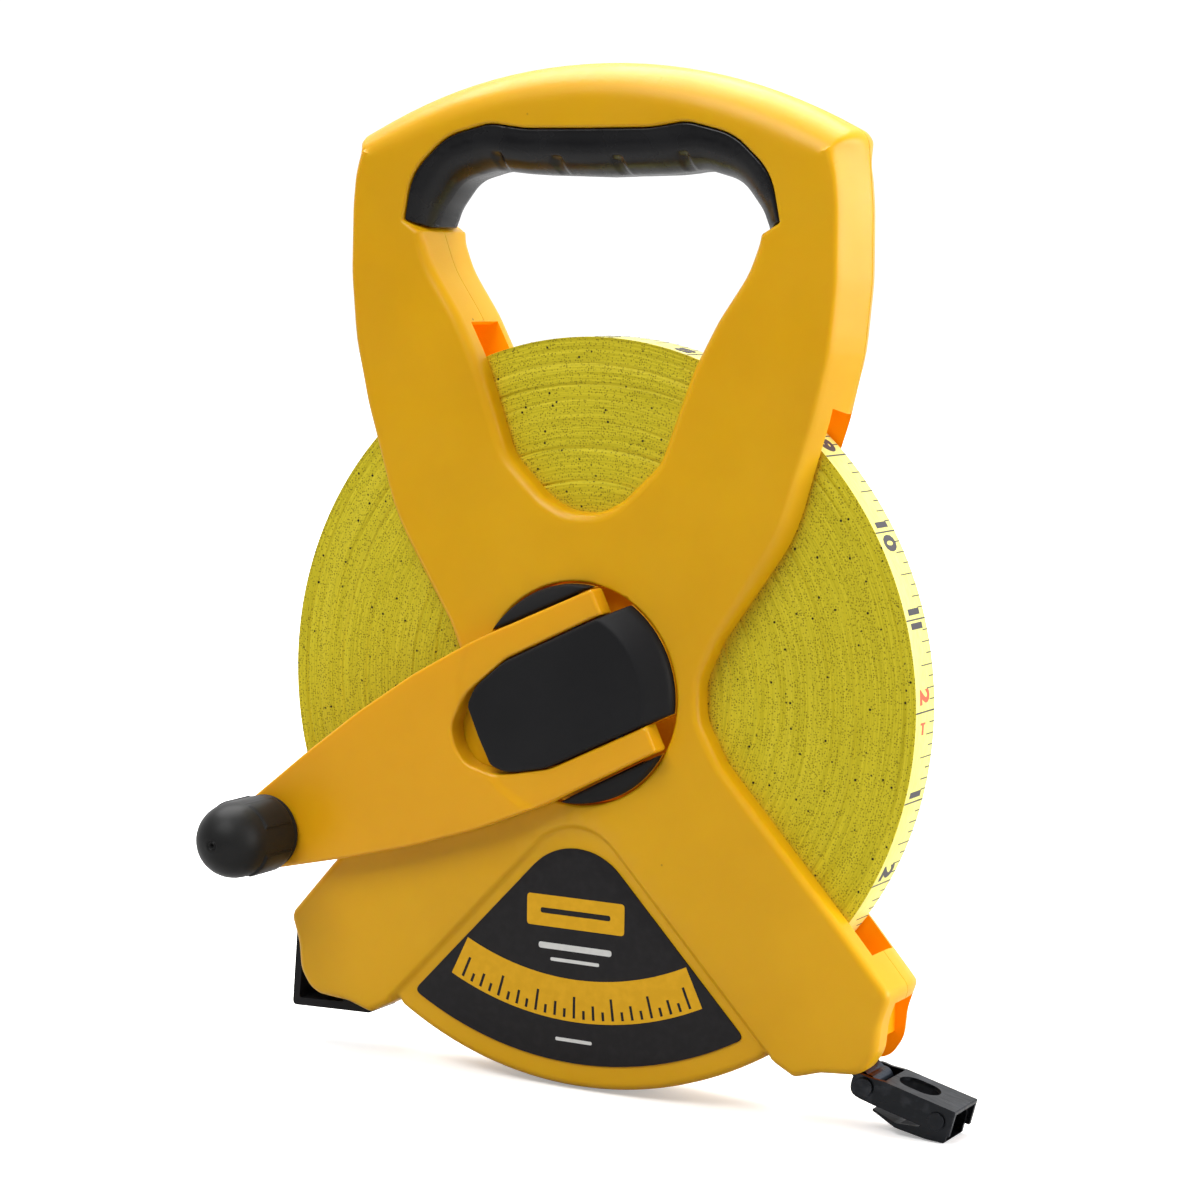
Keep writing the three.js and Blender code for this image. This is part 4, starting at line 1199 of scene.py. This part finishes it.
# ------------------------------------------------------------ studio
def floor():
    """A pale floor, which sends less light back up than the camera sees so the feet keep their colour."""
    level = cad_box[0].z - 0.0002
    half = 6
    corners = [(-half, -half, level), (half, -half, level), (half, half, level), (-half, half, level)]
    mesh = bpy.data.meshes.new("floor")
    mesh.from_pydata(corners, [], [(0, 1, 2, 3)])
    finish = Finish("pale_floor", (0.93, 0.93, 0.92), 0.9, Specular_IOR_Level=0.1)
    pale = finish.mix(finish.noise(3, 3), (0.93, 0.93, 0.93), (0.91, 0.91, 0.91))
    depth = finish.node("ShaderNodeSeparateXYZ", {0: finish.place}).outputs["Y"]
    bounce = finish.mix(finish.between(depth, -0.44, -0.20), (0.22, 0.22, 0.22), (0.42, 0.42, 0.42))
    seen = finish.node("ShaderNodeLightPath").outputs["Is Camera Ray"]
    finish.colour(finish.mix(seen, bounce, pale))
    reach = finish.vector("LENGTH", {0: finish.place}, "Value")
    lift = finish.times(finish.between(reach, 0.2, 1.1, 0.32, 0.9), seen)
    finish.shader.inputs["Emission Color"].default_value = (1, 1, 1, 1)
    finish.tree.links.new(lift, finish.shader.inputs["Emission Strength"])
    mesh.materials.append(finish.material)
    piece = bpy.data.objects.new("floor", mesh)
    bpy.context.scene.collection.objects.link(piece)


def softbox(name, place, aim, width, height, radiance):
    """A soft panel light; the lights stay out of the camera's sight."""
    light = bpy.data.lights.new(name, "AREA")
    light.shape = "RECTANGLE"
    light.size, light.size_y = width, height
    light.energy = radiance * math.pi * width * height
    lamp = bpy.data.objects.new(name, light)
    lamp.location = place
    lamp.rotation_mode = "QUATERNION"
    lamp.rotation_quaternion = (Vector(aim) - Vector(place)).to_track_quat("-Z", "Y")
    lamp.visible_camera = False
    bpy.context.scene.collection.objects.link(lamp)


def studio_world():
    """White surroundings, dimmer on the crank's side so that the plastic keeps its colour."""
    world = bpy.data.worlds.new("studio")
    world.use_nodes = True
    bpy.context.scene.world = world
    tree = world.node_tree
    shade = tree.nodes["Background"]
    coords = tree.nodes.new("ShaderNodeTexCoord")
    split = tree.nodes.new("ShaderNodeSeparateXYZ")
    tree.links.new(coords.outputs["Generated"], split.inputs[0])
    spread = tree.nodes.new("ShaderNodeMapRange")
    spread.inputs["From Min"].default_value = -0.8
    spread.inputs["From Max"].default_value = 0.5
    spread.inputs["To Min"].default_value = 0.18
    spread.inputs["To Max"].default_value = 0.95
    tree.links.new(split.outputs["Y"], spread.inputs["Value"])
    seen = tree.nodes.new("ShaderNodeLightPath")
    choose = tree.nodes.new("ShaderNodeMix")
    tree.links.new(seen.outputs["Is Camera Ray"], choose.inputs[0])
    tree.links.new(spread.outputs["Result"], choose.inputs[2])
    choose.inputs[3].default_value = 1.1
    tree.links.new(choose.outputs[0], shade.inputs["Strength"])
    shade.inputs["Color"].default_value = (1, 1, 1, 1)


LENS = 92.03
CAMERA_PLACE = (0.42218, -0.78247, 0.12101)


def camera():
    """The view from front right, a little above the reel's axis."""
    right = Vector((0.8752, 0.4835, 0.0155))
    up = Vector((-0.0658, 0.0873, 0.9940))
    back = Vector((0.4793, -0.8710, 0.1082))
    lens = bpy.data.cameras.new("camera")
    lens.lens = LENS
    lens.sensor_width = 36
    lens.clip_start, lens.clip_end = 0.05, 30
    holder = bpy.data.objects.new("camera", lens)
    turn = Matrix((right, up, back)).transposed().to_4x4()
    holder.matrix_world = Matrix.Translation(CAMERA_PLACE) @ turn
    bpy.context.scene.collection.objects.link(holder)
    bpy.context.scene.camera = holder


floor()
studio_world()
middle = (0, PARTING_PLANE, 0.03)
softbox("right_panel", (2.0, 0.55, 0.45), middle, 1.7, 1.6, 6.8)
softbox("top_panel", (-0.55, 0.5, 1.8), middle, 2.0, 1.6, 6.0)
softbox("front_fill", (-0.15, -1.15, 1.35), (0, PARTING_PLANE, 0.14), 1.2, 0.9, 6.4)
camera()
bpy.context.scene.view_settings.view_transform = "Standard"
